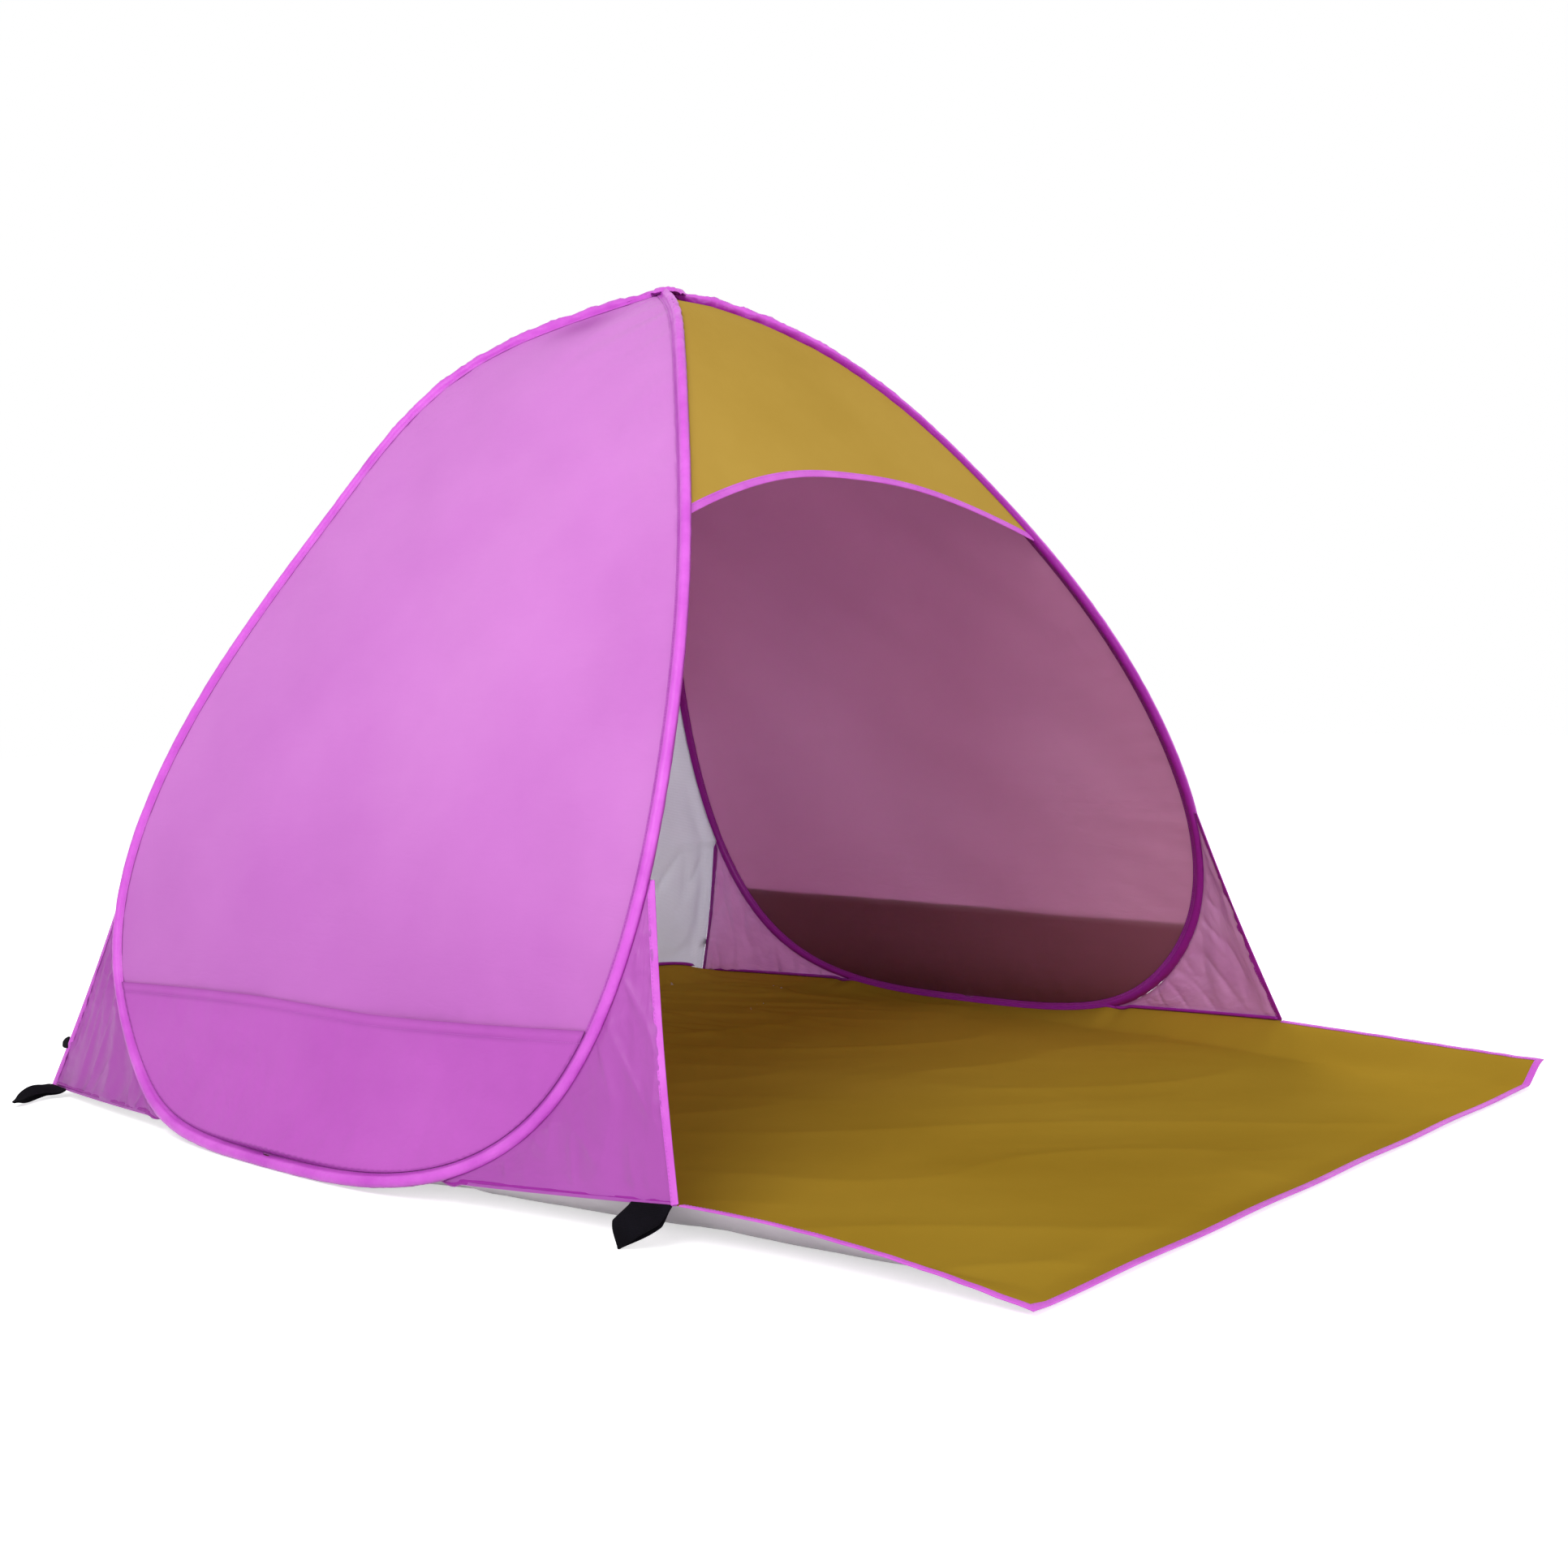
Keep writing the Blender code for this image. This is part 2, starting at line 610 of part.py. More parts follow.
def side_lift(side, y):
    """How far the floor's side edge stands off the ground.

    It follows the hoop up to the foot of the gusset, and the gusset's seam to the corner. On the apron the
    left edge comes down to the ground and the right edge stays up.
    """
    if y < -FRONT_CORNER_REACH:
        share = apron_share(y)
        if side == RIGHT:
            return FRONT_CORNER_LIFT + (APRON_RIGHT_LIFT - FRONT_CORNER_LIFT) * share
        fall = max(0.0, 1.0 - share * APRON_FALL_SHARE) ** 2
        return EDGE_LIFT + (FRONT_CORNER_LIFT - EDGE_LIFT) * fall
    end = FRONT if y < 0.0 else REAR
    if abs(y) < SEAM_REACH[end]:
        return SEAM_LIFT[end] * (abs(y) / SEAM_REACH[end]) ** SIDE_LIFT_POWER
    share = (abs(y) - SEAM_REACH[end]) / (CORNER_REACH[end] - SEAM_REACH[end])
    return SEAM_LIFT[end] + (CORNER_LIFT[end] - SEAM_LIFT[end]) * share


def smooth_step(value):
    value = min(1.0, max(0.0, value))
    return value * value * (3.0 - 2.0 * value)


def floor_height(x, y):
    """Height of the floor's underside: flat on the ground, lifted in a band along its edges."""
    half = floor_half_width(y)
    across = x - floor_middle(y)
    side = LEFT if across < 0.0 else RIGHT
    side_share = (abs(across) - (half - SIDE_BAND)) / SIDE_BAND
    height = side_lift(side, y) * smooth_step(side_share)
    front_share = (-y - (FRONT_CORNER_REACH + APRON_DEPTH - END_BAND)) / END_BAND
    wave = EDGE_LIFT + EDGE_WAVE * math.sin(EDGE_HALF_WAVES * math.pi * across / half)
    height = max(height, wave * smooth_step(front_share))
    rear_share = (y - (REAR_CORNER_REACH - END_BAND)) / END_BAND
    rear_lift = EDGE_LIFT + (REAR_CORNER_LIFT - EDGE_LIFT) * abs(across / half) ** REAR_LIFT_POWER
    return max(height, rear_lift * smooth_step(rear_share))


def floor_rows():
    """Places of the floor's rows from rear to front, close together in the lifted bands."""
    front = -FRONT_CORNER_REACH - APRON_DEPTH
    rear_band = [REAR_CORNER_REACH - END_BAND * (1.0 - share) for share in reversed(END_BAND_SHARES)]
    front_band = [front + END_BAND * (1.0 - share) for share in END_BAND_SHARES]
    rows = rear_band
    for stop in (SEAM_REACH[REAR], 0.0, -SEAM_REACH[FRONT], -FRONT_CORNER_REACH, front_band[0]):
        start = rows[-1]
        steps = max(1, math.ceil(abs(stop - start) / FLOOR_ROW_PITCH))
        rows = rows + [start + (stop - start) * k / steps for k in range(1, steps + 1)]
    return rows + front_band[1:]


def floor_columns(y):
    flat = floor_half_width(y) - SIDE_BAND
    right = [flat * share for share in FLOOR_COLUMN_SHARES]
    right += [flat + SIDE_BAND * share for share in SIDE_BAND_SHARES[1:]]
    return [floor_middle(y) + x for x in [-x for x in right[:0:-1]] + right]


def floor_grid():
    rows = []
    for y in floor_rows():
        rows.append([(x, y, floor_height(x, y) + CLOTH / 2.0) for x in floor_columns(y)])
    return np.array(rows)


FLOOR_GRID = floor_grid()


def floor_top(x, y):
    """Height of the floor's upper face, taken from the facets of the sheet."""
    places = FLOOR_GRID[:, 0, 1]
    i = int(np.clip(np.searchsorted(-places, -y) - 1, 0, len(places) - 2))
    heights = [np.interp(x, FLOOR_GRID[row, :, 0], FLOOR_GRID[row, :, 2]) for row in (i, i + 1)]
    share = (y - places[i]) / (places[i + 1] - places[i])
    return heights[0] + (heights[1] - heights[0]) * share + CLOTH / 2.0


def floor_sheet(finish):
    sheet("floor_sheet", FLOOR_GRID, finish)


def apron_binding(finish):
    """The tape round the three free edges of the apron."""
    first = int(np.argmin(np.abs(FLOOR_GRID[:, 0, 1] + FRONT_CORNER_REACH)))
    rows, columns = FLOOR_GRID.shape[:2]
    last_row, last_column = rows - 1, columns - 1
    cells = [((i, 0), (i, 1)) for i in range(first, last_row)]
    cells += [((last_row, 0), (last_row - 1, 1))]
    cells += [((last_row, j), (last_row - 1, j)) for j in range(1, last_column)]
    cells += [((last_row, last_column), (last_row - 1, last_column - 1))]
    cells += [((i, last_column), (i, last_column - 1)) for i in range(last_row - 1, first - 1, -1)]
    edge_binding("apron_binding", FLOOR_GRID, cells, finish, trim=(CORNER_TRIM_SHARE, CORNER_TRIM_SHARE))


# Gussets between the hoops and the floor corners

GUSSET_COLUMNS = 3
GUSSET_INSET = 4 * MM
GUSSET_TOP_WIDTH = 8 * MM
GUSSET_SEAM_RISE = 1.1 * MM
GUSSET_TAPE_DEPTH = 6 * MM
GUSSET_SLEEVE_GAP = 0.8 * MM
GUSSET_TURN_SHARE = 0.55
GUSSET_TAPE_WIDTH_SHARE = 0.5
JAMB_DRAW = 4 * MM
TAPE_TOP_TRIM_SHARE = 0.05
TAPE_FOOT_TRIM_SHARE = 0.12


def seam_point(y):
    """A point of the gusset's lower edge over the floor's right side."""
    x = floor_half_width(y) - GUSSET_INSET
    return np.array([x, y, floor_top(x, y) + GUSSET_SEAM_RISE])


def floor_corner(end):
    """The foot of a gusset's free edge, over the floor's right corner."""
    return seam_point(end * (CORNER_REACH[end] - GUSSET_INSET))


def square_to(directions, along):
    """Unit directions with their part along the hoop taken out."""
    return unit(directions - np.sum(directions * along, axis=-1, keepdims=True) * along)


def gusset_grid(end):
    """Rows across a gusset from the hoop to its free edge and then to the floor seam, and the corner's row."""
    points, along, _ = ARCS[end]
    first, last = station(GUSSET_RUN[end]), station(GUSSET_FOOT_RUN[end])
    top = points[first]
    corner = floor_corner(end)
    rows = last - first + 1
    turn = max(2, round(rows * GUSSET_TURN_SHARE))
    setback = SLEEVE_RADIUS + CLOTH / 2.0 + GUSSET_SLEEVE_GAP
    start = top + square_to(corner - top, along[first]) * (setback + GUSSET_TOP_WIDTH)
    draw = unit(points[(first + last) // 2] - (top + corner) / 2.0) * JAMB_DRAW
    free = []
    for k in range(rows):
        if k <= turn:
            share = k / turn
            free.append(start + (corner - start) * share + draw * math.sin(math.pi * share))
        else:
            share = (k - turn) / (rows - 1 - turn)
            y = corner[1] + (points[last][1] - corner[1]) * share
            free.append(seam_point(y))
    free = np.array(free)
    hoop = points[first:last + 1]
    seam = hoop + square_to(free - hoop, along[first:last + 1]) * setback
    width = np.linalg.norm(free - seam, axis=1, keepdims=True)
    tape = np.minimum(GUSSET_TAPE_DEPTH, width * GUSSET_TAPE_WIDTH_SHARE)
    inner = free + unit(seam - free) * tape
    grid = lerp_rows(seam, inner, np.linspace(0.0, 1.0, GUSSET_COLUMNS + 1))
    return np.concatenate([grid, free[:, None, :]], axis=1), turn


GUSSETS = {end: gusset_grid(end) for end in (FRONT, REAR)}


def gusset(side, end, finish):
    grid, _ = GUSSETS[end]
    sheet(f"{END_NAMES[end]}_{SIDE_NAMES[side]}_gusset", mirrored(grid, side), finish)


def gusset_binding(side, end, finish):
    """The tape down the free edge of a gusset, from the hoop to the floor corner."""
    grid, turn = GUSSETS[end]
    rim, deep = grid.shape[1] - 1, grid.shape[1] - 2
    cells = [((i, rim), (i, deep)) for i in range(turn + 1)]
    name = f"{END_NAMES[end]}_{SIDE_NAMES[side]}_gusset_binding"
    edge_binding(name, grid, cells, finish, side, trim=(TAPE_TOP_TRIM_SHARE, TAPE_FOOT_TRIM_SHARE))


# Cloths between the two hoops: front panel over the doorway, rear panel and rear window

FRONT_COLUMNS = 14
REAR_COLUMNS = 12
BETWEEN_SETBACK = SLEEVE_RADIUS + CLOTH / 2.0 + GAP
WINDOW_SEAM_HALF = 1.5 * MM
WINDOW_SEAM_RISE = 0.7 * MM
BESIDE_TAPE_SETBACK = 6 * MM
ARCH_ROUNDNESS = 2.4
DOORWAY_TRIM_SHARE = 0.15


def between_edge(end, first, last):
    """Right edge of a cloth stretched between the hoops, standing clear of the sleeve."""
    points, along, _ = ARCS[end]
    sideways = np.sqrt(1.0 - along[first:last + 1, 0] ** 2)
    edge = points[first:last + 1].copy()
    edge[:, 0] -= BETWEEN_SETBACK / sideways
    return edge


def front_grid():
    """Rows from the apex down to the doorway arch; each column keeps its share of the way down."""
    last = station(ARCH_RUN)
    edge = between_edge(FRONT, 0, last)
    edge = edge[edge[:, 0] > BETWEEN_SETBACK]
    first = last + 1 - len(edge)
    runs = STATIONS[first:last + 1]
    brink = runs[-1] - BINDING_DEPTH
    tape_line = [np.interp(brink, runs, edge[:, axis]) for axis in range(3)]
    runs = np.insert(runs, -1, brink)
    edge = np.insert(edge, -1, tape_line, axis=0)
    columns = np.linspace(-1.0, 1.0, FRONT_COLUMNS + 1)
    grid = np.zeros((len(edge), len(columns), 3))
    for j, across in enumerate(columns):
        rise = ARCH_RISE * (1.0 - abs(across) ** ARCH_ROUNDNESS)
        foot = run_at_level(ARCH_END_HEIGHT + rise)
        tape = foot - BINDING_DEPTH
        share = (tape - runs[0]) / (runs[-2] - runs[0])
        places = np.append(runs[0] + (runs[:-1] - runs[0]) * share, foot)
        for axis in range(3):
            grid[:, j, axis] = np.interp(places, runs, edge[:, axis])
        grid[:, j, 0] *= across
    return grid


FRONT_GRID = front_grid()


def front_upper_panel(finish):
    sheet("front_upper_panel", FRONT_GRID, finish)


def doorway_binding(finish):
    """The tape along the arch over the doorway."""
    rim, columns = FRONT_GRID.shape[0] - 1, FRONT_GRID.shape[1]
    cells = [((rim, j), (rim - 1, j)) for j in range(columns)]
    edge_binding("doorway_binding", FRONT_GRID, cells, finish, trim=(DOORWAY_TRIM_SHARE, DOORWAY_TRIM_SHARE))


def rear_row_pair():
    """Right edges of the rear panel and of the rear window below it, parted at their seam."""
    last = station(WINDOW_RUN)
    upper = between_edge(REAR, 0, last)
    upper = upper[upper[:, 0] > BETWEEN_SETBACK]
    upper[-1] += unit(upper[-2] - upper[-1]) * WINDOW_SEAM_HALF
    gusset_first = station(GUSSET_RUN[REAR])
    lower = between_edge(REAR, last, gusset_first)
    lower[0] += unit(lower[1] - lower[0]) * WINDOW_SEAM_HALF
    grid, turn = GUSSETS[REAR]
    beside = grid[1:turn + 1, -1].copy()
    beside[:, 0] -= BESIDE_TAPE_SETBACK
    return upper, np.concatenate([lower, beside])


REAR_UPPER_EDGE, REAR_LOWER_EDGE = rear_row_pair()


def across_grid(edge, columns):
    shares = np.linspace(-1.0, 1.0, columns + 1)
    grid = np.repeat(edge[:, None, :], len(shares), axis=1)
    grid[:, :, 0] *= shares[None, :]
    return grid


def rear_upper_panel(finish):
    sheet("rear_upper_panel", across_grid(REAR_UPPER_EDGE, REAR_COLUMNS), finish)


def rear_window(finish):
    """The mesh from the rear panel down to the floor's rear edge."""
    grid = across_grid(REAR_LOWER_EDGE, REAR_COLUMNS)
    for j in range(grid.shape[1]):
        x, y, _ = grid[-1, j]
        grid[-1, j, 2] = floor_top(x, y) + WINDOW_SEAM_RISE
    sheet("rear_window_mesh", grid, finish)


# Rolled window flap and its ties

ROLL_RADIUS = 17 * MM
ROLL_PITCH = 4.2 * MM
ROLL_DROP = 7 * MM
ROLL_TURNS = 1.75
ROLL_TURN_POINTS = 12
FLAP_HEM = 14 * MM
FLAP_END_SETBACK = 22 * MM
FLAP_STATIONS = 6
TIE_WIDTH = 20 * MM
TIE_END_SETBACK = 60 * MM
TIE_HEM = 24 * MM
TIE_GAP = 0.45 * MM
TIE_FIRST_POINT = 10
TIE_LAST_POINT = 2


def ribbon(name, centre_line, thickness, sides, finish):
    """A strip of even thickness along a line in the YZ plane, from one given place along X to the next."""
    line = np.asarray(centre_line, dtype=float)
    along = unit(np.gradient(line, axis=0))
    across = np.stack([-along[:, 1], along[:, 0]], axis=1) * thickness / 2.0
    outline = np.concatenate([line + across, (line - across)[::-1]])
    rings = [[(x, y, z) for y, z in outline] for x in sides]
    return sweep(name, rings, finish)


def window_seam():
    """The seam over the window in the YZ plane: half its length, its middle, the way down and the way out."""
    upper, lower = REAR_UPPER_EDGE[-1], REAR_LOWER_EDGE[0]
    middle = (upper + lower) / 2.0
    down = unit(upper[1:] - REAR_UPPER_EDGE[-2][1:])
    return middle[0], middle[1:], down, np.array([-down[1], down[0]])


def roll_centre():
    _, seam, down, out = window_seam()
    return seam + down * ROLL_DROP + out * (ROLL_RADIUS + CLOTH + GAP)


def around_roll(radius, angle):
    """A point about the roll's axis; an angle of 0 is outward and 90 degrees is down."""
    _, _, down, out = window_seam()
    return roll_centre() + radius * (math.cos(angle) * out + math.sin(angle) * down)


def spiral_point(k, outset):
    """The k-th point of the rolled flap's section, counted from the wall, or of a line outside it."""
    turn = k / ROLL_TURN_POINTS
    return around_roll(ROLL_RADIUS - ROLL_PITCH * turn + outset, math.pi - 2.0 * math.pi * turn)


def rear_window_flap(finish):
    """The flap hangs from the seam along the wall and is rolled up outwards from its foot."""
    half, seam, down, _ = window_seam()
    foot = around_roll(ROLL_RADIUS, math.pi)
    line = [foot - down * (ROLL_DROP + FLAP_HEM), foot - down * ROLL_DROP]
    line += [spiral_point(k, 0.0) for k in range(round(ROLL_TURNS * ROLL_TURN_POINTS) + 1)]
    reach = half - FLAP_END_SETBACK
    ribbon("rear_window_flap", line, CLOTH, np.linspace(-reach, reach, FLAP_STATIONS), finish)


def flap_tie(side, finish):
    """A strap sewn on over the seam, which goes round the outside of the rolled flap."""
    half, _, down, _ = window_seam()
    line = [around_roll(ROLL_RADIUS, math.pi) - down * (ROLL_DROP + TIE_HEM)]
    line += [spiral_point(k, CLOTH + TIE_GAP) for k in range(TIE_FIRST_POINT, TIE_LAST_POINT - 1, -1)]
    middle = side * (half - TIE_END_SETBACK)
    places = sorted((middle - TIE_WIDTH / 2.0, middle + TIE_WIDTH / 2.0))
    ribbon(SIDE_NAMES[side] + "_flap_tie", line, CLOTH, places, finish)


# Apex cap

CAP_LENGTH = 60 * MM
CAP_WIDTH = 40 * MM
CAP_CROWN_RADIUS = 11.5 * MM
CAP_SLOPE = 0.27
CAP_RINGS = 4
CAP_SIDES = 16


def apex_cap(finish):
    """A patch that is sewn over the tips of the two hoops at the apex."""
    builder = bmesh.new()
    shells = []
    for lift in (CAP_CLOTH, 0.0):
        crown = TENT_HEIGHT - CAP_CLOTH + lift
        shell = [[builder.verts.new((0.0, 0.0, crown))]]
        for k in range(1, CAP_RINGS + 1):
            share = k / CAP_RINGS
            ring = []
            for m in range(CAP_SIDES):
                angle = 2.0 * math.pi * m / CAP_SIDES
                x = CAP_LENGTH / 2.0 * share * math.cos(angle)
                y = CAP_WIDTH / 2.0 * share * math.sin(angle)
                fall = CAP_SLOPE * max(0.0, math.hypot(x, y) - CAP_CROWN_RADIUS)
                ring.append(builder.verts.new((x, y, crown - fall)))
            shell.append(ring)
        shells.append(shell)
    for shell in shells:
        for m in range(CAP_SIDES):
            builder.faces.new((shell[0][0], shell[1][m], shell[1][(m + 1) % CAP_SIDES]))
        for inner_ring, outer_ring in zip(shell[1:], shell[2:]):
            join_rings(builder, inner_ring, outer_ring)
    join_rings(builder, shells[0][-1], shells[1][-1])
    add_object("apex_cap", builder, finish)


# Webbing loops for pegs, and the tabs on the rear seams

WEBBING = 1.0 * MM
WEBBING_SLIT = 0.2 * MM
LOOP_SEAT_GAP = 0.35 * MM
LOOP_WIDTH = 38 * MM
FRONT_LOOP_LENGTH = 46 * MM
REAR_LOOP_LENGTH = 74 * MM
LOOP_LENGTH = {FRONT: FRONT_LOOP_LENGTH, REAR: REAR_LOOP_LENGTH}
LOOP_EYE = 9 * MM
LOOP_CORNER_SETBACK = 30 * MM
FRONT_LOOP_TIP_LEVEL = 2 * MM
REAR_LOOP_TIP_LEVEL = 6 * MM
LOOP_TIP_LEVEL = {FRONT: FRONT_LOOP_TIP_LEVEL, REAR: REAR_LOOP_TIP_LEVEL}
TAB_WIDTH = 16 * MM
TAB_LENGTH = 18 * MM
TAB_STANDOFF = 1.4 * MM
TAB_PROFILE_SHARES = ((0.0, 1.0), (0.5, 1.0), (1.0, 0.6))

LOOP_LEG_POINTS = 12
LOOP_CROWDING_POWER = 1.15
LOOP_EYE_POWER = 1.4
LOOP_NOSE_TURNS = (45.0, 90.0, 135.0)
LOOP_ROOT_TURNS = (15.0, 45.0)
LOOP_HALF = WEBBING + WEBBING_SLIT / 2.0


def loop_outline(length):
    """Section of a peg loop: two legs of one strap, parted at the eye, with a round root on the pivot."""
    inner, outer = [], []
    for turn in LOOP_ROOT_TURNS:
        angle = math.radians(turn)
        place = LOOP_HALF * (1.0 - math.cos(angle))
        outer.append((place, LOOP_HALF * math.sin(angle)))
        inner.append((place, WEBBING_SLIT / 2.0))
    for k in range(LOOP_LEG_POINTS + 1):
        share = k / LOOP_LEG_POINTS
        place = LOOP_HALF + (length - LOOP_HALF) * (1.0 - (1.0 - share) ** LOOP_CROWDING_POWER)
        opening = LOOP_EYE / 2.0 * math.sin(math.pi * share ** LOOP_EYE_POWER) ** 2
        outer.append((place, LOOP_HALF + opening))
        inner.append((place, WEBBING_SLIT / 2.0 + opening))
    for turn in LOOP_NOSE_TURNS:
        angle = math.radians(turn)
        outer.append((length + LOOP_HALF * math.sin(angle), LOOP_HALF * math.cos(angle)))
        inner.append((length + WEBBING_SLIT / 2.0 * math.sin(angle), WEBBING_SLIT / 2.0 * math.cos(angle)))
    legs = LOOP_LEG_POINTS + 1 + len(LOOP_ROOT_TURNS)
    outer += [(place, -thick) for place, thick in reversed(outer[:legs])]
    inner += [(place, -thick) for place, thick in reversed(inner[:legs])]
    return outer + inner[::-1]


def floor_edge(y):
    """A point on the right rim of the floor, half way up its thickness."""
    places = FLOOR_GRID[::-1, -1]
    return np.array([np.interp(y, places[:, 1], places[:, axis]) for axis in range(3)])


def loop_seat(end):
    """Pivot of a right peg loop, the hinge line, the way out, the way up, and how far the loop falls."""
    y = end * (CORNER_REACH[end] - LOOP_CORNER_SETBACK)
    ahead, behind = floor_edge(y + LOOP_WIDTH / 2.0), floor_edge(y - LOOP_WIDTH / 2.0)
    hinge = unit(ahead - behind)
    out = unit(np.cross(hinge, [0.0, 0.0, 1.0]))
    up = np.cross(out, hinge)
    pivot = (ahead + behind) / 2.0 + out * (LOOP_SEAT_GAP + LOOP_HALF)
    drop = pivot[2] - LOOP_HALF - LOOP_TIP_LEVEL[end]
    fall = math.asin(min(1.0, drop / LOOP_LENGTH[end]))
    return pivot, hinge, out, up, fall


def peg_loop(side, end, finish):
    pivot, hinge, out, up, fall = loop_seat(end)
    rings = []
    for shift in (-LOOP_WIDTH / 2.0, LOOP_WIDTH / 2.0):
        ring = []
        for place, thick in loop_outline(LOOP_LENGTH[end]):
            place = place - LOOP_HALF
            outward = place * math.cos(fall) + thick * math.sin(fall)
            upward = thick * math.cos(fall) - place * math.sin(fall)
            ring.append(pivot + hinge * shift + out * outward + up * upward)
        rings.append(mirrored(ring, side))
    sweep(f"{END_NAMES[end]}_{SIDE_NAMES[side]}_peg_loop", rings, finish, tuple(mirrored(pivot, side)))


def seam_tab(side, finish):
    """A short folded tab of webbing behind the rear gusset's seam."""
    grid, turn = GUSSETS[REAR]
    place = grid[turn // 2 + 1, -1]
    out = unit(grid[turn // 2 + 1, -1] - grid[turn // 2 + 1, -2])
    below = unit(grid[turn // 2 + 2, -1] - place)
    normal = unit(np.cross(out, below))
    start = place + out * (BINDING_WALL + TAB_STANDOFF)
    rings = []
    for length_share, thickness_share in TAB_PROFILE_SHARES:
        ring = []
        for a, b in ((-0.5, -1.0), (0.5, -1.0), (0.5, 1.0), (-0.5, 1.0)):
            flat = out * TAB_LENGTH * length_share + below * TAB_WIDTH * a
            ring.append(start + flat + normal * LOOP_HALF * thickness_share * b)
        rings.append(mirrored(ring, side))
    sweep(SIDE_NAMES[side] + "_seam_tab", rings, finish)


def build_tent():
    clear_scene()
    steel = material("spring_steel", (0.35, 0.35, 0.36), 0.35, 1.0)
    crimp = material("crimp_metal", (0.55, 0.55, 0.56), 0.4, 1.0)
    pink = material("pink_polyester", (0.62, 0.13, 0.66), 0.55)
    coated = material("coated_pink_polyester", (0.55, 0.14, 0.58), 0.35)
    tape = material("pink_binding_tape", (0.66, 0.09, 0.70), 0.45)
    gold = material("gold_polyester", (0.40, 0.26, 0.06), 0.5)
    ground_cloth = material("gold_floor_cloth", (0.30, 0.20, 0.03), 0.42)
    mesh_cloth = material("grey_mesh", (0.62, 0.64, 0.66), 0.7)
    webbing = material("black_webbing", (0.01, 0.01, 0.012), 0.8)
    for side in (LEFT, RIGHT):
        hoop_wire(side, steel)
        wire_ferrule(side, crimp)
        hoop_sleeve(side, tape)
        side_panel(side, pink)
        sand_pocket(side, pink)
        flap_tie(side, webbing)
        seam_tab(side, webbing)
        for end in (FRONT, REAR):
            gusset(side, end, coated)
            gusset_binding(side, end, tape)
            peg_loop(side, end, webbing)
    front_upper_panel(gold)
    doorway_binding(tape)
    rear_upper_panel(gold)
    rear_window(mesh_cloth)
    rear_window_flap(pink)
    floor_sheet(ground_cloth)
    apron_binding(tape)
    apex_cap(tape)


build_tent()
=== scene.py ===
"""A pop-up beach tent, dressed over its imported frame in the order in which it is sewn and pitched.

The doorway faces -Y, +X is to the right, +Z is up and the ground is at 0. Lengths are in metres.
"""

import json
import math

import bmesh
import bpy
import numpy as np
from mathutils import Matrix, Vector


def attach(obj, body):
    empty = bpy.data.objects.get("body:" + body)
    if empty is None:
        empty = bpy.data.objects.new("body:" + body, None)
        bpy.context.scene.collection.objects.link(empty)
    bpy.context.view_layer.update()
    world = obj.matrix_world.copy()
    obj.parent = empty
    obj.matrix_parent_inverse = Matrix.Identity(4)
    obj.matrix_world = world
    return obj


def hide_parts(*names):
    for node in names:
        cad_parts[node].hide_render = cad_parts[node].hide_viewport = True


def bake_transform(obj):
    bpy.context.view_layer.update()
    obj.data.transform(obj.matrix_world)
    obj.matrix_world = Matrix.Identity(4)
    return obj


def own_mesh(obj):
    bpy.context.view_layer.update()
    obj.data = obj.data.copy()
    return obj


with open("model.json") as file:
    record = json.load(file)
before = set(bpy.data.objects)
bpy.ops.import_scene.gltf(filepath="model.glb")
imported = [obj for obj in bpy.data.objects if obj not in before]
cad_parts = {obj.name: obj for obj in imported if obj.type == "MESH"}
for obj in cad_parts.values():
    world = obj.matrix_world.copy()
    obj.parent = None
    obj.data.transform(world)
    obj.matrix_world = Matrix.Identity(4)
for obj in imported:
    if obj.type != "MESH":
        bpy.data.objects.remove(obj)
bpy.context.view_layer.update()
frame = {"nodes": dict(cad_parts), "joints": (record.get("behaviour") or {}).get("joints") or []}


# ------------------------------------------------------------------------------
# Hoop wires and their crimped ferrules
# Each side of the tent is held open by one closed hoop of round spring steel, and the two ends of the wire
# meet at the foot in a short crimped tube. Both stay as the frame has them, inside the tunnels.

LEFT, RIGHT = -1, 1
FRONT, REAR = -1, 1
SIDES = {LEFT: "left", RIGHT: "right"}
ENDS = {FRONT: "front", REAR: "rear"}


def linear(red, green, blue):
    """A colour written as three numbers up to 255, as the linear values that a shader takes."""
    shares = [part / 255.0 for part in (red, green, blue)]
    return tuple(part / 12.92 if part <= 0.04045 else ((part + 0.055) / 1.055) ** 2.4 for part in shares)


def fill(made, inputs):
    """Give a node's inputs a number, a colour, or the socket of another node to link to."""
    for key, value in inputs.items():
        socket = made.inputs[key]
        if isinstance(value, bpy.types.NodeSocket):
            made.id_data.links.new(value, socket)
        elif socket.type == "RGBA":
            socket.default_value = (*value, 1.0)
        else:
            socket.default_value = value


def node_maker(tree):
    """A maker of nodes for one tree; it takes their inputs as fill() does, and settings by name."""
    def node(kind, inputs=(), **settings):
        made = tree.nodes.new(kind)
        for key, value in settings.items():
            setattr(made, key, value)
        fill(made, dict(inputs))
        return made

    return node


def new_finish(name):
    """An empty finish, the maker of its nodes, and its main shader."""
    finish = bpy.data.materials.new(name)
    finish.use_nodes = True
    return finish, node_maker(finish.node_tree), finish.node_tree.nodes["Principled BSDF"]


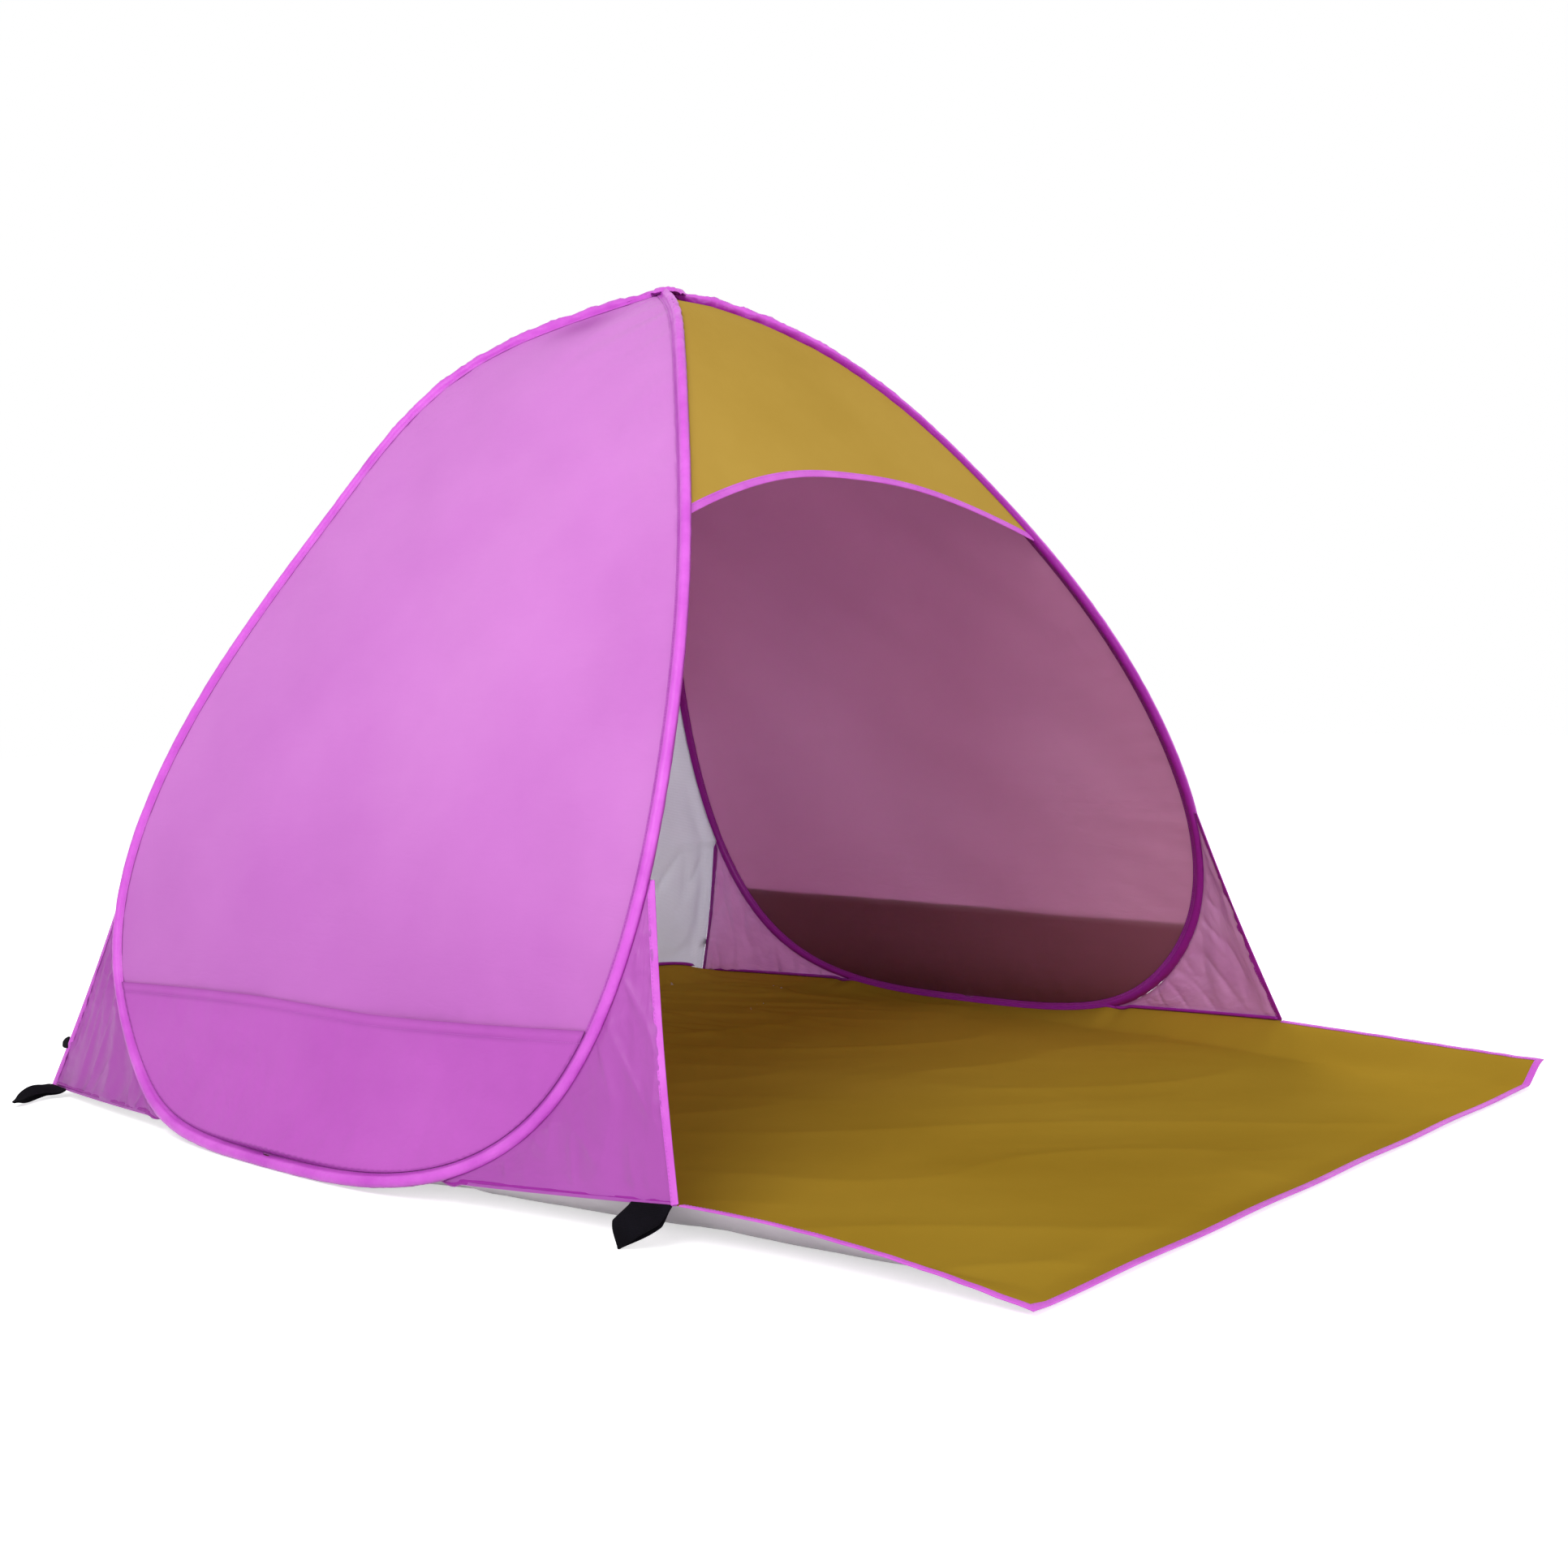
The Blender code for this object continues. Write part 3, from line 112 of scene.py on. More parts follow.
def drawn_wire_finish(name, colour, roughness, scratch_scale):
    """Bare metal with fine lengthwise draw marks and a few dull patches."""
    finish, node, shader = new_finish(name)
    place = node("ShaderNodeTexCoord").outputs["Object"]
    marks = node("ShaderNodeTexNoise", {"Scale": scratch_scale, "Detail": 4.0, "Vector": place}).outputs["Fac"]
    dull = node("ShaderNodeMapRange", {"To Min": roughness - 0.08, "To Max": roughness + 0.16, "Value": marks})
    bump = node("ShaderNodeBump", {"Strength": 0.25, "Distance": 0.0002, "Height": marks})
    fill(shader, {"Base Color": colour, "Metallic": 1.0, "Roughness": dull.outputs["Result"],
                  "Normal": bump.outputs["Normal"]})
    return finish


spring_steel = drawn_wire_finish("drawn_spring_steel", linear(150, 150, 152), 0.34, 900.0)
crimped_steel = drawn_wire_finish("crimped_steel", linear(176, 174, 168), 0.42, 500.0)
for side in SIDES.values():
    frame["nodes"][side + "_hoop_wire"].material_slots[0].material = spring_steel
    frame["nodes"][side + "_wire_ferrule"].material_slots[0].material = crimped_steel


# ------------------------------------------------------------------------------
# Hoop sleeves
# A tunnel of glossy pink ribbon runs round each hoop over the wire. Its two lips lie on the edge of the side
# panel and are stitched through it. The ribbon puckers along the curve, most near the apex.

tent_height = 1.100
foot_half_width = 0.690
hoop_half_depth = 0.485
apex_half_spread = 0.010
sleeve_radius = 0.0065
sleeve_wall = 0.0006
lip_reach = 0.0115
lip_inner = 0.00045
lip_outer = lip_inner + sleeve_wall
cap_room = 0.0015
foot_level = sleeve_radius
tip_level = tent_height - sleeve_radius - cap_room

# Outline of a hoop: level, spread from the centre, reach to the front, reach to the rear
hoop_shares = np.array((
    (1.000, 0.000, 0.000, 0.000),
    (0.942, 0.156, 0.266, 0.441),
    (0.738, 0.441, 0.680, 0.724),
    (0.421, 0.729, 1.000, 0.988),
    (0.152, 0.888, 0.961, 0.930),
    (0.033, 0.956, 0.666, 0.625),
    (0.000, 1.000, 0.000, 0.000),
))


def unit(vectors):
    vectors = np.asarray(vectors, dtype=float)
    return vectors / np.maximum(np.linalg.norm(vectors, axis=-1, keepdims=True), 1e-12)


def on_side(points, side):
    """The right half's points, turned over to the left where side is -1."""
    return np.asarray(points, dtype=float) * np.array([side, 1.0, 1.0])


def chord_lengths(points):
    return np.concatenate([[0.0], np.cumsum(np.linalg.norm(np.diff(points, axis=0), axis=1))])


def cubic(knots, values, level_end):
    """A cubic spline through the values; level_end makes its last slope zero."""
    count = len(knots)
    step = np.diff(knots)
    slope = np.diff(values) / step
    system = np.zeros((count, count))
    target = np.zeros(count)
    system[0, 0] = 1.0
    for i in range(1, count - 1):
        system[i, i - 1:i + 2] = step[i - 1], 2.0 * (step[i - 1] + step[i]), step[i]
        target[i] = 6.0 * (slope[i] - slope[i - 1])
    system[-1, -1] = 1.0
    if level_end:
        system[-1, -2:] = step[-1], 2.0 * step[-1]
        target[-1] = -6.0 * slope[-1]
    bend = np.linalg.solve(system, target)

    def evaluate(where):
        where = np.atleast_1d(np.asarray(where, dtype=float))
        i = np.clip(np.searchsorted(knots, where, side="right") - 1, 0, count - 2)
        a = (knots[i + 1] - where) / step[i]
        b = (where - knots[i]) / step[i]
        curve = ((a**3 - a) * bend[i] + (b**3 - b) * bend[i + 1]) * step[i]**2 / 6.0
        return a * values[i] + b * values[i + 1] + curve

    return evaluate


levels = foot_level + hoop_shares[:, 0] * (tip_level - foot_level)
spreads = apex_half_spread + hoop_shares[:, 1] * (foot_half_width - apex_half_spread)
reaches = {FRONT: hoop_shares[:, 2] * hoop_half_depth, REAR: hoop_shares[:, 3] * hoop_half_depth}
run_knots = chord_lengths(np.stack([spreads, (reaches[FRONT] + reaches[REAR]) / 2.0, levels], axis=1))
profile_knots = chord_lengths(np.stack([spreads, levels], axis=1))
spread_on_profile = cubic(profile_knots, spreads, False)
level_on_profile = cubic(profile_knots, levels, False)
down_profile = cubic(run_knots, profile_knots, True)
reach_on_run = {end: cubic(run_knots, reaches[end], False) for end in ENDS}
foot_run = run_knots[-1]


def on_hoop(run, end):
    """Points of the right hoop's centre line on its front or rear arc, by the run from the tip."""
    place = down_profile(run)
    return np.stack([spread_on_profile(place), end * reach_on_run[end](run), level_on_profile(place)], axis=-1)


def run_at_level(level):
    runs = np.linspace(0.0, foot_run, 20001)
    return float(np.interp(-level, -level_on_profile(down_profile(runs)), runs))


def panel_normal(run):
    """The way out of the right side panel, which is flat from front to rear."""
    probe = 0.0013
    place = down_profile(run)
    rise = level_on_profile(place + probe) - level_on_profile(place - probe)
    going = spread_on_profile(place + probe) - spread_on_profile(place - probe)
    return unit(np.stack([-rise, np.zeros_like(rise), going], axis=-1))


def arc_frames(runs, end):
    """Centre points of one arc of the right hoop, the way along it, and the way into the panel."""
    probe = 0.0013
    points = on_hoop(runs, end)
    along = unit(on_hoop(np.minimum(runs + probe, foot_run), end) - on_hoop(runs - probe, end))
    inward = unit(np.cross(panel_normal(runs), along))
    towards = on_hoop(foot_run * 0.55, FRONT)[0] * np.array([1.0, 0.0, 1.0]) - points
    return points, along, inward * np.where(np.sum(inward * towards, axis=1) < 0.0, -1.0, 1.0)[:, None]


search = np.linspace(0.0, foot_run / 2.0, 20001)
tip_run = float(np.interp(2.0 * sleeve_radius + 0.004, reach_on_run[FRONT](search) + reach_on_run[REAR](search),
                          search))


def fade(gap):
    """From 1 to 0 over a gap from 0 to 1, level at both ends."""
    return 1.0 - gap * gap * gap * (gap * (gap * 6.0 - 15.0) + 10.0)


def rumple(along, across, seed):
    """Soft random waves of about -1 to 1; both lengths are counted in wave widths."""
    along, across = np.broadcast_arrays(np.asarray(along, dtype=float), np.asarray(across, dtype=float))
    turns = np.random.RandomState(seed).rand(64, 64) * 2.0 * np.pi
    i, j = np.floor(along).astype(int), np.floor(across).astype(int)
    x, y = along - i, across - j
    total = np.zeros_like(x)
    for di in (0, 1):
        for dj in (0, 1):
            turn = turns[(i + di) % 64, (j + dj) % 64]
            share = fade(np.abs(x - di)) * fade(np.abs(y - dj))
            total += share * (np.cos(turn) * (x - di) + np.sin(turn) * (y - dj))
    return total * 1.55


def creases(along, across, seed):
    """Sharp-topped folds from 0 to 1, as crisp coated cloth takes them."""
    return (1.0 - np.minimum(1.0, np.abs(rumple(along, across, seed)) * 2.2)) ** 2


def smooth_step(value):
    value = np.clip(value, 0.0, 1.0)
    return value * value * (3.0 - 2.0 * value)


def bell(value):
    """From 1 at nothing down to 0, on both sides."""
    return np.exp(-value ** 2)


def in_scene(name, data):
    """A new object at the origin."""
    made = bpy.data.objects.new(name, data)
    bpy.context.scene.collection.objects.link(made)
    return made


def add_piece(name, points, faces, finishes, face_finish=None, uvs=None, marks=None, turn_out=True):
    """A mesh object at the origin.

    uvs holds a pair of lengths for each point, in metres of cloth; marks names values for each point.
    turn_out also takes out slivers and turns the faces outwards.
    """
    mesh = bpy.data.meshes.new(name)
    mesh.from_pydata(np.asarray(points, dtype=float).tolist(), [], [list(map(int, f)) for f in faces])
    for finish in finishes:
        mesh.materials.append(finish)
    if face_finish is not None:
        mesh.polygons.foreach_set("material_index", np.asarray(face_finish, dtype=np.int32))
    layer = mesh.uv_layers.new(name="cloth")
    corners = np.zeros(len(mesh.loops), dtype=np.int32)
    mesh.loops.foreach_get("vertex_index", corners)
    layer.data.foreach_set("uv", np.asarray(uvs, dtype=np.float32)[corners].ravel())
    for mark, values in (marks or {}).items():
        layer = mesh.attributes.new(mark, "FLOAT", "POINT")
        layer.data.foreach_set("value", np.asarray(values, dtype=np.float32).ravel())
    builder = bmesh.new()
    builder.from_mesh(mesh)
    bmesh.ops.remove_doubles(builder, verts=builder.verts, dist=1e-6)
    if turn_out:
        bmesh.ops.dissolve_degenerate(builder, edges=builder.edges, dist=1e-7)
        bmesh.ops.recalc_face_normals(builder, faces=builder.faces)
    builder.to_mesh(mesh)
    builder.free()
    mesh.shade_smooth()
    return in_scene(name, mesh)


def swept(name, rings, finish, joined=False, sharp=None, marks=None):
    """A skin over a row of closed section outlines; open rows end in caps of paired points."""
    rings = np.asarray(rings, dtype=float)
    count, size = rings.shape[:2]
    faces = []
    for i in range(count if joined else count - 1):
        here, there = i * size, (i + 1) % count * size
        for k in range(size):
            after = (k + 1) % size
            faces.append((here + k, here + after, there + after, there + k))
    if not joined:
        for base in (0, (count - 1) * size):
            for k in range(size // 2 - 1):
                faces.append((base + k, base + k + 1, base + size - 2 - k, base + size - 1 - k))
    middle = chord_lengths(rings.mean(axis=1))
    around = chord_lengths(np.concatenate([rings[count // 2], rings[count // 2][:1]]))[:-1]
    uvs = np.stack([np.repeat(middle, size), np.tile(around, count)], axis=1)
    marks = {mark: np.tile(values, count) for mark, values in marks.items()}
    piece = add_piece(name, rings.reshape(-1, 3), faces, [finish], uvs=uvs, marks=marks)
    if sharp:
        piece.data.set_sharp_from_angle(angle=math.radians(sharp))
    return piece


def bands(node, pitch, axis, metres, **inputs):
    """Even waves across a cloth along one axis, one to each pitch."""
    waves = {"Scale": 2.0 * math.pi / pitch / 20.0, "Vector": metres, **inputs}
    return node("ShaderNodeTexWave", waves, wave_type="BANDS", bands_direction=axis).outputs["Fac"]


def cloth_finish(name, pale, deep, roughness, thread=0.0011, weave=0.12, crinkle=0.3, crinkle_width=0.03,
                 patch=5.0, sheen=0.0, coat=0.0, shine=0.5, stretch=(1.0, 1.0)):
    """Woven cloth: crossing threads, soft creases, uneven dye and a sheen.

    thread is the pitch of the weave. pale and deep are the two shades between which the dye wanders.
    """
    finish, node, shader = new_finish(name)
    metres = node("ShaderNodeUVMap", uv_map="cloth").outputs["UV"]
    place = node("ShaderNodeTexCoord").outputs["Object"]
    dye = node("ShaderNodeTexNoise", {"Scale": patch, "Detail": 5.0, "Roughness": 0.55, "Vector": place})
    dye = dye.outputs["Fac"]
    spread = node("ShaderNodeMapRange", {"From Min": 0.3, "From Max": 0.7, "Value": dye}).outputs["Result"]
    shades = {"A": linear(*deep), "B": linear(*pale), "Factor": spread}
    shade = node("ShaderNodeMix", shades, data_type="RGBA").outputs["Result"]
    uneven = {"Distortion": 0.6, "Detail Scale": 0.4}
    threads = [bands(node, thread, axis, metres, **uneven) for axis in ("X", "Y")]
    cross = node("ShaderNodeMath", enumerate(threads), operation="MAXIMUM").outputs[0]
    hollow = node("ShaderNodeMapRange", {"From Min": 0.35, "From Max": 0.0, "To Max": 0.6, "Value": cross})
    pores = node("ShaderNodeMix", {"A": shade, "B": (0.86, 0.82, 0.86), "Factor": hollow.outputs["Result"]},
                 data_type="RGBA", blend_type="MULTIPLY")
    stretched = node("ShaderNodeMapping", {"Scale": (*stretch, 1.0), "Vector": metres}).outputs["Vector"]
    soft = node("ShaderNodeTexNoise", {"Scale": 1.0 / crinkle_width, "Detail": 3.0, "Distortion": 0.4,
                                       "Vector": stretched})
    creased = node("ShaderNodeBump", {"Strength": crinkle, "Distance": 0.003, "Height": soft.outputs["Fac"]})
    woven = node("ShaderNodeBump", {"Strength": weave, "Distance": 0.0003, "Height": cross,
                                    "Normal": creased.outputs["Normal"]})
    worn = node("ShaderNodeMapRange", {"To Min": roughness + 0.07, "To Max": roughness - 0.07, "Value": dye})
    fill(shader, {"Base Color": pores.outputs["Result"], "Normal": woven.outputs["Normal"],
                  "Roughness": worn.outputs["Result"], "Sheen Weight": sheen, "Sheen Roughness": 0.4,
                  "Coat Weight": coat, "Coat Roughness": 0.22, "Specular IOR Level": shine})
    return finish


def paint_light_and_shade(finish, colour, attribute):
    """Paint light and shade into a finish's colour: mix it towards another colour where the named attribute is
    1.
    """
    node = node_maker(finish.node_tree)
    shader = finish.node_tree.nodes["Principled BSDF"]
    plain = shader.inputs["Base Color"].links[0].from_socket
    share = node("ShaderNodeAttribute", attribute_name=attribute).outputs["Fac"]
    mix = node("ShaderNodeMix", {"A": plain, "B": colour, "Factor": share}, data_type="RGBA")
    fill(shader, {"Base Color": mix.outputs["Result"]})


pink_ribbon = cloth_finish("glossy_pink_ribbon", (220, 104, 222), (198, 80, 202), 0.34, thread=0.0008,
                           crinkle_width=0.012, patch=18.0, shine=0.2)
# Painted shade: the ribbon turns dark purple where it faces into the tent, as it looks in the tent's shadow.
paint_light_and_shade(pink_ribbon, linear(150, 30, 150), "painted_inner_shade")

stitch_lines = {"left_side": [], "right_side": [], "apron": [], "doorway": [], "window": []}
hoop_runs = np.linspace(tip_run, foot_run, 340)
hoop_arcs = {end: arc_frames(hoop_runs, end) for end in ENDS}


def closed_hoop():
    """The right hoop's centre line from its front tip round the foot to its rear tip and over the apex."""
    front, rear = hoop_arcs[FRONT][0], hoop_arcs[REAR][0]
    up_rear = rear[-2::-1]
    start, stop = up_rear[-1], front[0]
    pull = np.linalg.norm(stop - start) * 1.3
    leave, arrive = unit(up_rear[-1] - up_rear[-2]) * pull, unit(front[1] - front[0]) * pull
    bend = []
    for s in np.linspace(0.0, 1.0, 10)[1:-1]:
        bend.append((2 * s**3 - 3 * s**2 + 1) * start + (s**3 - 2 * s**2 + s) * leave
                    + (3 * s**2 - 2 * s**3) * stop + (s**3 - s**2) * arrive)
    points = np.concatenate([front, up_rear, bend])
    normals = panel_normal(hoop_runs)
    halves = np.linalg.norm(front - rear, axis=1) / 2.0
    over_apex = np.repeat(normals[:1], len(bend), axis=0), np.full(len(bend), tip_run), np.zeros(len(bend))
    normals, runs, halves = (np.concatenate([down, down[-2::-1], last])
                             for down, last in zip((normals, hoop_runs, halves), over_apex))
    along = unit(np.roll(points, -1, axis=0) - np.roll(points, 1, axis=0))
    inward = unit(np.cross(normals, along))
    foot = len(hoop_runs) - 1
    if inward[foot, 2] < 0.0:
        inward = -inward
    return points, inward, normals, runs, halves


hoop_points, hoop_inward, hoop_normals, hoop_run_of, hoop_halves = closed_hoop()
hoop_lengths = chord_lengths(hoop_points)
lip_turn = math.asin(lip_outer / sleeve_radius)
skin_turns = np.linspace(lip_turn, 2.0 * math.pi - lip_turn, 22)
bore = sleeve_radius - sleeve_wall
bore_lip_turn = math.asin(lip_inner / bore)
bore_turns = np.linspace(2.0 * math.pi - bore_lip_turn, bore_lip_turn, 12)


def hoop_sleeve(side):
    rings = []
    seed = 11 if side == LEFT else 23
    near_apex = smooth_step((0.55 - hoop_run_of) / 0.45)
    depth = 0.00035 + 0.0010 * near_apex
    loose = np.where(hoop_points[:, 1] < 0.0, *((0.08, 1.0) if side == LEFT else (1.0, 0.8)))
    puff = 0.0062 * loose * smooth_step((hoop_run_of - 0.02) / 0.05) * smooth_step((0.55 - hoop_run_of) / 0.42)
    depth = depth + 0.0010 * near_apex * loose
    lip_wave = 0.0003 * rumple(hoop_lengths / 0.018, 0.0, seed + 5)
    for i, (point, into, normal) in enumerate(zip(hoop_points, hoop_inward, hoop_normals)):
        reach = max(sleeve_radius * 1.02, min(lip_reach, hoop_halves[i] - 0.0003)) + abs(lip_wave[i])
        pleat = rumple(hoop_lengths[i] / 0.017 + skin_turns * 0.9, skin_turns * 0.8, seed)
        pleat += 0.6 * rumple(hoop_lengths[i] / 0.006 + skin_turns * 0.5, skin_turns * 1.6, seed + 1)
        edge = np.sin((skin_turns - skin_turns[0]) / (skin_turns[-1] - skin_turns[0]) * math.pi) ** 0.4
        away = (0.5 - 0.5 * np.cos(skin_turns)) ** 0.8
        radius = sleeve_radius + depth[i] * pleat * edge - 0.0003 * near_apex[i] + puff[i] * away
        section = [(reach, lip_outer)]
        section += list(zip(radius * np.cos(skin_turns), radius * np.sin(skin_turns)))
        section += [(reach, -lip_outer), (reach, -lip_inner)]
        section += list(zip(bore * np.cos(bore_turns) * 0.97, bore * np.sin(bore_turns) * 0.97))
        section += [(reach, lip_inner)]
        section = np.array(section)
        rings.append(point + section[:, :1] * into + section[:, 1:] * normal)
    # Painted shade on the tunnel's inward half and its bore, fading out towards its outer side.
    skin_shade = smooth_step((0.25 - np.sin(skin_turns)) / 0.6)
    shade = np.concatenate([[0.0], skin_shade, [1.0, 1.0], np.ones(len(bore_turns)), [1.0]])
    name = SIDES[side] + "_sleeve"
    piece = swept(name, on_side(rings, side), pink_ribbon, joined=True, marks={"painted_inner_shade": shade})
    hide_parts(SIDES[side] + "_hoop_sleeve")
    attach(piece, SIDES[side] + "_side")
    inner_line = hoop_points + hoop_inward * (lip_reach - 0.0018)
    wide = hoop_halves > lip_reach
    for face in (1.0, -1.0):
        line = on_side(inner_line + hoop_normals * (lip_outer + 0.0001) * face, side)
        stitch_lines[SIDES[side] + "_side"].append(line[wide])
    return piece


sleeves = {side: hoop_sleeve(side) for side in SIDES}


# ------------------------------------------------------------------------------
# Side panels
# One leaf of thin pink polyester fills each hoop. Tension from the curved wire puckers it along the seam,
# and the slack in its width lies in long soft folds. Its inside has a dull coating.

cloth_thickness = 0.0006
panel_inset = 0.0085

thin_pink = cloth_finish("thin_pink_polyester", (232, 146, 234), (217, 126, 221), 0.5, crinkle=0.2,
                         patch=2.2, shine=0.15, stretch=(1.0, 3.2))
# Painted shade: a darker pink beside the sleeves, under the apex and towards the foot.
paint_light_and_shade(thin_pink, linear(176, 74, 180), "painted_shade")


def let_light_through(finish, colour, share):
    """Thin cloth: part of the light that falls on one side comes out softly on the other."""
    tree = finish.node_tree
    node = node_maker(tree)
    through = node("ShaderNodeBsdfTranslucent", {"Color": colour}).outputs["BSDF"]
    solid = tree.nodes["Principled BSDF"].outputs["BSDF"]
    mix = node("ShaderNodeMixShader", {"Fac": share, 1: solid, 2: through})
    fill(tree.nodes["Material Output"], {"Surface": mix.outputs["Shader"]})


coated_inside = cloth_finish("dull_coated_inside", (200, 164, 176), (180, 138, 154), 0.46, patch=2.4,
                             shine=0.2, stretch=(1.0, 2.4))
# Painted shade: the inside turns darker brown where the sand pocket doubles the cloth and lets less light
# through.
paint_light_and_shade(coated_inside, linear(134, 86, 82), "painted_layer_shade")
# Painted light: a paler inside colour where the lamps would shine through the panel.
paint_light_and_shade(coated_inside, linear(232, 204, 224), "painted_light_glow")
let_light_through(thin_pink, linear(236, 170, 236), 0.22)
let_light_through(coated_inside, linear(226, 190, 204), 0.50)


def grid_normals(grid):
    """Normals of a grid of points, held over from the next row where a row shrinks to one point."""
    normals = np.cross(np.gradient(grid, axis=0), np.gradient(grid, axis=1))
    for row, neighbour in ((0, 1), (-1, -2)):
        if np.linalg.norm(grid[row, -1] - grid[row, 0]) < 1e-4:
            normals[row] = normals[neighbour].mean(axis=0)
    return unit(normals)

def normals_towards(grid, way):
    """Normals of a grid of points, turned so that those at its middle look the given way."""
    normals = grid_normals(grid)
    return normals * np.sign(normals[grid.shape[0] // 2, grid.shape[1] // 2] @ np.asarray(way))


def grid_lengths(grid):
    """For each point of a grid, the cloth's length across to it and down to it."""
    rows, columns = grid.shape[:2]
    widths = np.array([chord_lengths(row)[-1] for row in grid[:: max(1, rows // 12)]])
    across = np.linspace(-0.5, 0.5, columns) * widths.max()
    down = chord_lengths(grid[:, columns // 2])
    return np.stack(np.meshgrid(across, down), axis=-1)


def cloth_sheet(name, grid, finishes, out, thickness=cloth_thickness, lengths=None, marks=None):
    """A thin closed cloth over a grid of points: its outer face looks along out, and has the first finish."""
    grid = np.asarray(grid, dtype=float)
    rows, columns = grid.shape[:2]
    normals = grid_normals(grid)
    turned = np.sum(normals * out) < 0.0
    if turned:
        normals = -normals
    half = normals * thickness / 2.0
    points = np.concatenate([(grid + half).reshape(-1, 3), (grid - half).reshape(-1, 3)])
    index = np.arange(rows * columns).reshape(rows, columns)
    quads = np.stack([index[:-1, :-1], index[1:, :-1], index[1:, 1:], index[:-1, 1:]], axis=-1).reshape(-1, 4)
    rim = np.concatenate([index[0, :], index[1:, -1], index[-1, -2::-1], index[-2:0:-1, 0]])
    after = np.roll(rim, -1)
    edges = np.stack([rim, after, after + rows * columns, rim + rows * columns], axis=-1)
    if turned:
        quads, edges = quads[:, ::-1], edges[:, ::-1]
    faces = np.concatenate([quads, quads[:, ::-1] + rows * columns, edges])
    kinds = np.repeat([0, len(finishes) - 1, 0], [len(quads), len(quads), len(edges)])
    lengths = grid_lengths(grid) if lengths is None else lengths
    uvs = np.tile(lengths.reshape(-1, 2), (2, 1))
    marks = {mark: np.tile(np.ravel(values), 2) for mark, values in (marks or {}).items()}
    return add_piece(name, points, faces, finishes, kinds, uvs, marks, turn_out=False)


def from_hoop(points):
    """How far each point of the right panel is from the hoop, and where along the hoop that is."""
    flat = points.reshape(-1, 3)
    near, place = np.zeros(len(flat)), np.zeros(len(flat))
    for start in range(0, len(flat), 2000):
        part = flat[start:start + 2000]
        gaps = np.linalg.norm(part[:, None, :] - hoop_points[None, ::2, :], axis=2)
        best = np.argmin(gaps, axis=1)
        near[start:start + 2000] = gaps[np.arange(len(part)), best]
        place[start:start + 2000] = hoop_lengths[::2][best]
    return near.reshape(points.shape[:-1]), place.reshape(points.shape[:-1])


def panel_rows(first_run, rows, columns, inset):
    """The right side panel as a grid of points from one run down to the foot, with its normals."""
    runs = np.linspace(first_run, foot_run, rows)
    edges = []
    for end in (FRONT, REAR):
        points, _, inward = arc_frames(runs, end)
        edges.append(points + inward * inset)
    shares = np.linspace(0.0, 1.0, columns)[None, :, None]
    grid = edges[0][:, None, :] * (1.0 - shares) + edges[1][:, None, :] * shares
    grid[-1] = grid[-1].mean(axis=0)
    return grid, np.repeat(panel_normal(runs)[:, None, :], columns, axis=1), runs


def panel_wrinkles(grid, seed):
    """How far the cloth of a side panel stands out of its plane."""
    near, place = from_hoop(grid)
    held = 1.0 - np.exp(-((near - panel_inset) / 0.006).clip(0.0))
    uneven = 0.55 + 0.45 * rumple(place / 0.23, 0.5, seed)
    short = rumple(place / 0.017, near / 0.12, seed + 1) * np.exp(-near / 0.040)
    long = rumple(place / 0.034, near / 0.26, seed + 2) * np.exp(-near / 0.105)
    y, z = grid[..., 1], grid[..., 2]
    broad = rumple(y / 0.26 + z / 0.9, z / 0.17 - y / 0.5, seed + 3)
    folds = rumple((y * 0.8 + z * 0.6) / 0.42, (z * 0.8 - y * 0.6) / 0.075, seed + 4)
    upper = smooth_step((z - 0.45) / 0.4)
    level_lines = rumple(y / 0.30, z / 0.020, seed + 5)
    middle = smooth_step((near - 0.02) / 0.12)
    wave = 0.0022 * uneven * short + 0.0036 * uneven * long
    wave = wave + middle * (0.0050 * broad + 0.0026 * folds * (0.35 + upper) + 0.0004 * level_lines)
    return wave * held


search = np.linspace(0.0, foot_run / 2.0, 4001)
panel_first = float(np.interp(0.026, reach_on_run[FRONT](search) + reach_on_run[REAR](search), search))
pocket_hem_height = 0.172

# Painted light: pale patches on the panel's inside where lamp light would shine through: place to the rear,
# height, size and strength
painted_light_patches = ((0.17, 0.47, 0.20, 0.55), (0.05, 0.28, 0.17, 0.45), (-0.26, 0.42, 0.12, 0.25))


def hem_runs(side, columns):
    """Where the pocket's hem crosses the panel, front to rear; the left one has slipped a little askew."""
    across = np.linspace(0.0, 1.0, columns)
    slip = 0.021 * (1.0 - across / 0.42).clip(0.0) ** 1.4 - 0.013 * ((across - 0.6) / 0.4).clip(0.0) ** 1.4
    level = pocket_hem_height + (slip if side == LEFT else 0.0)
    return np.array([run_at_level(each) for each in np.broadcast_to(level, across.shape)])


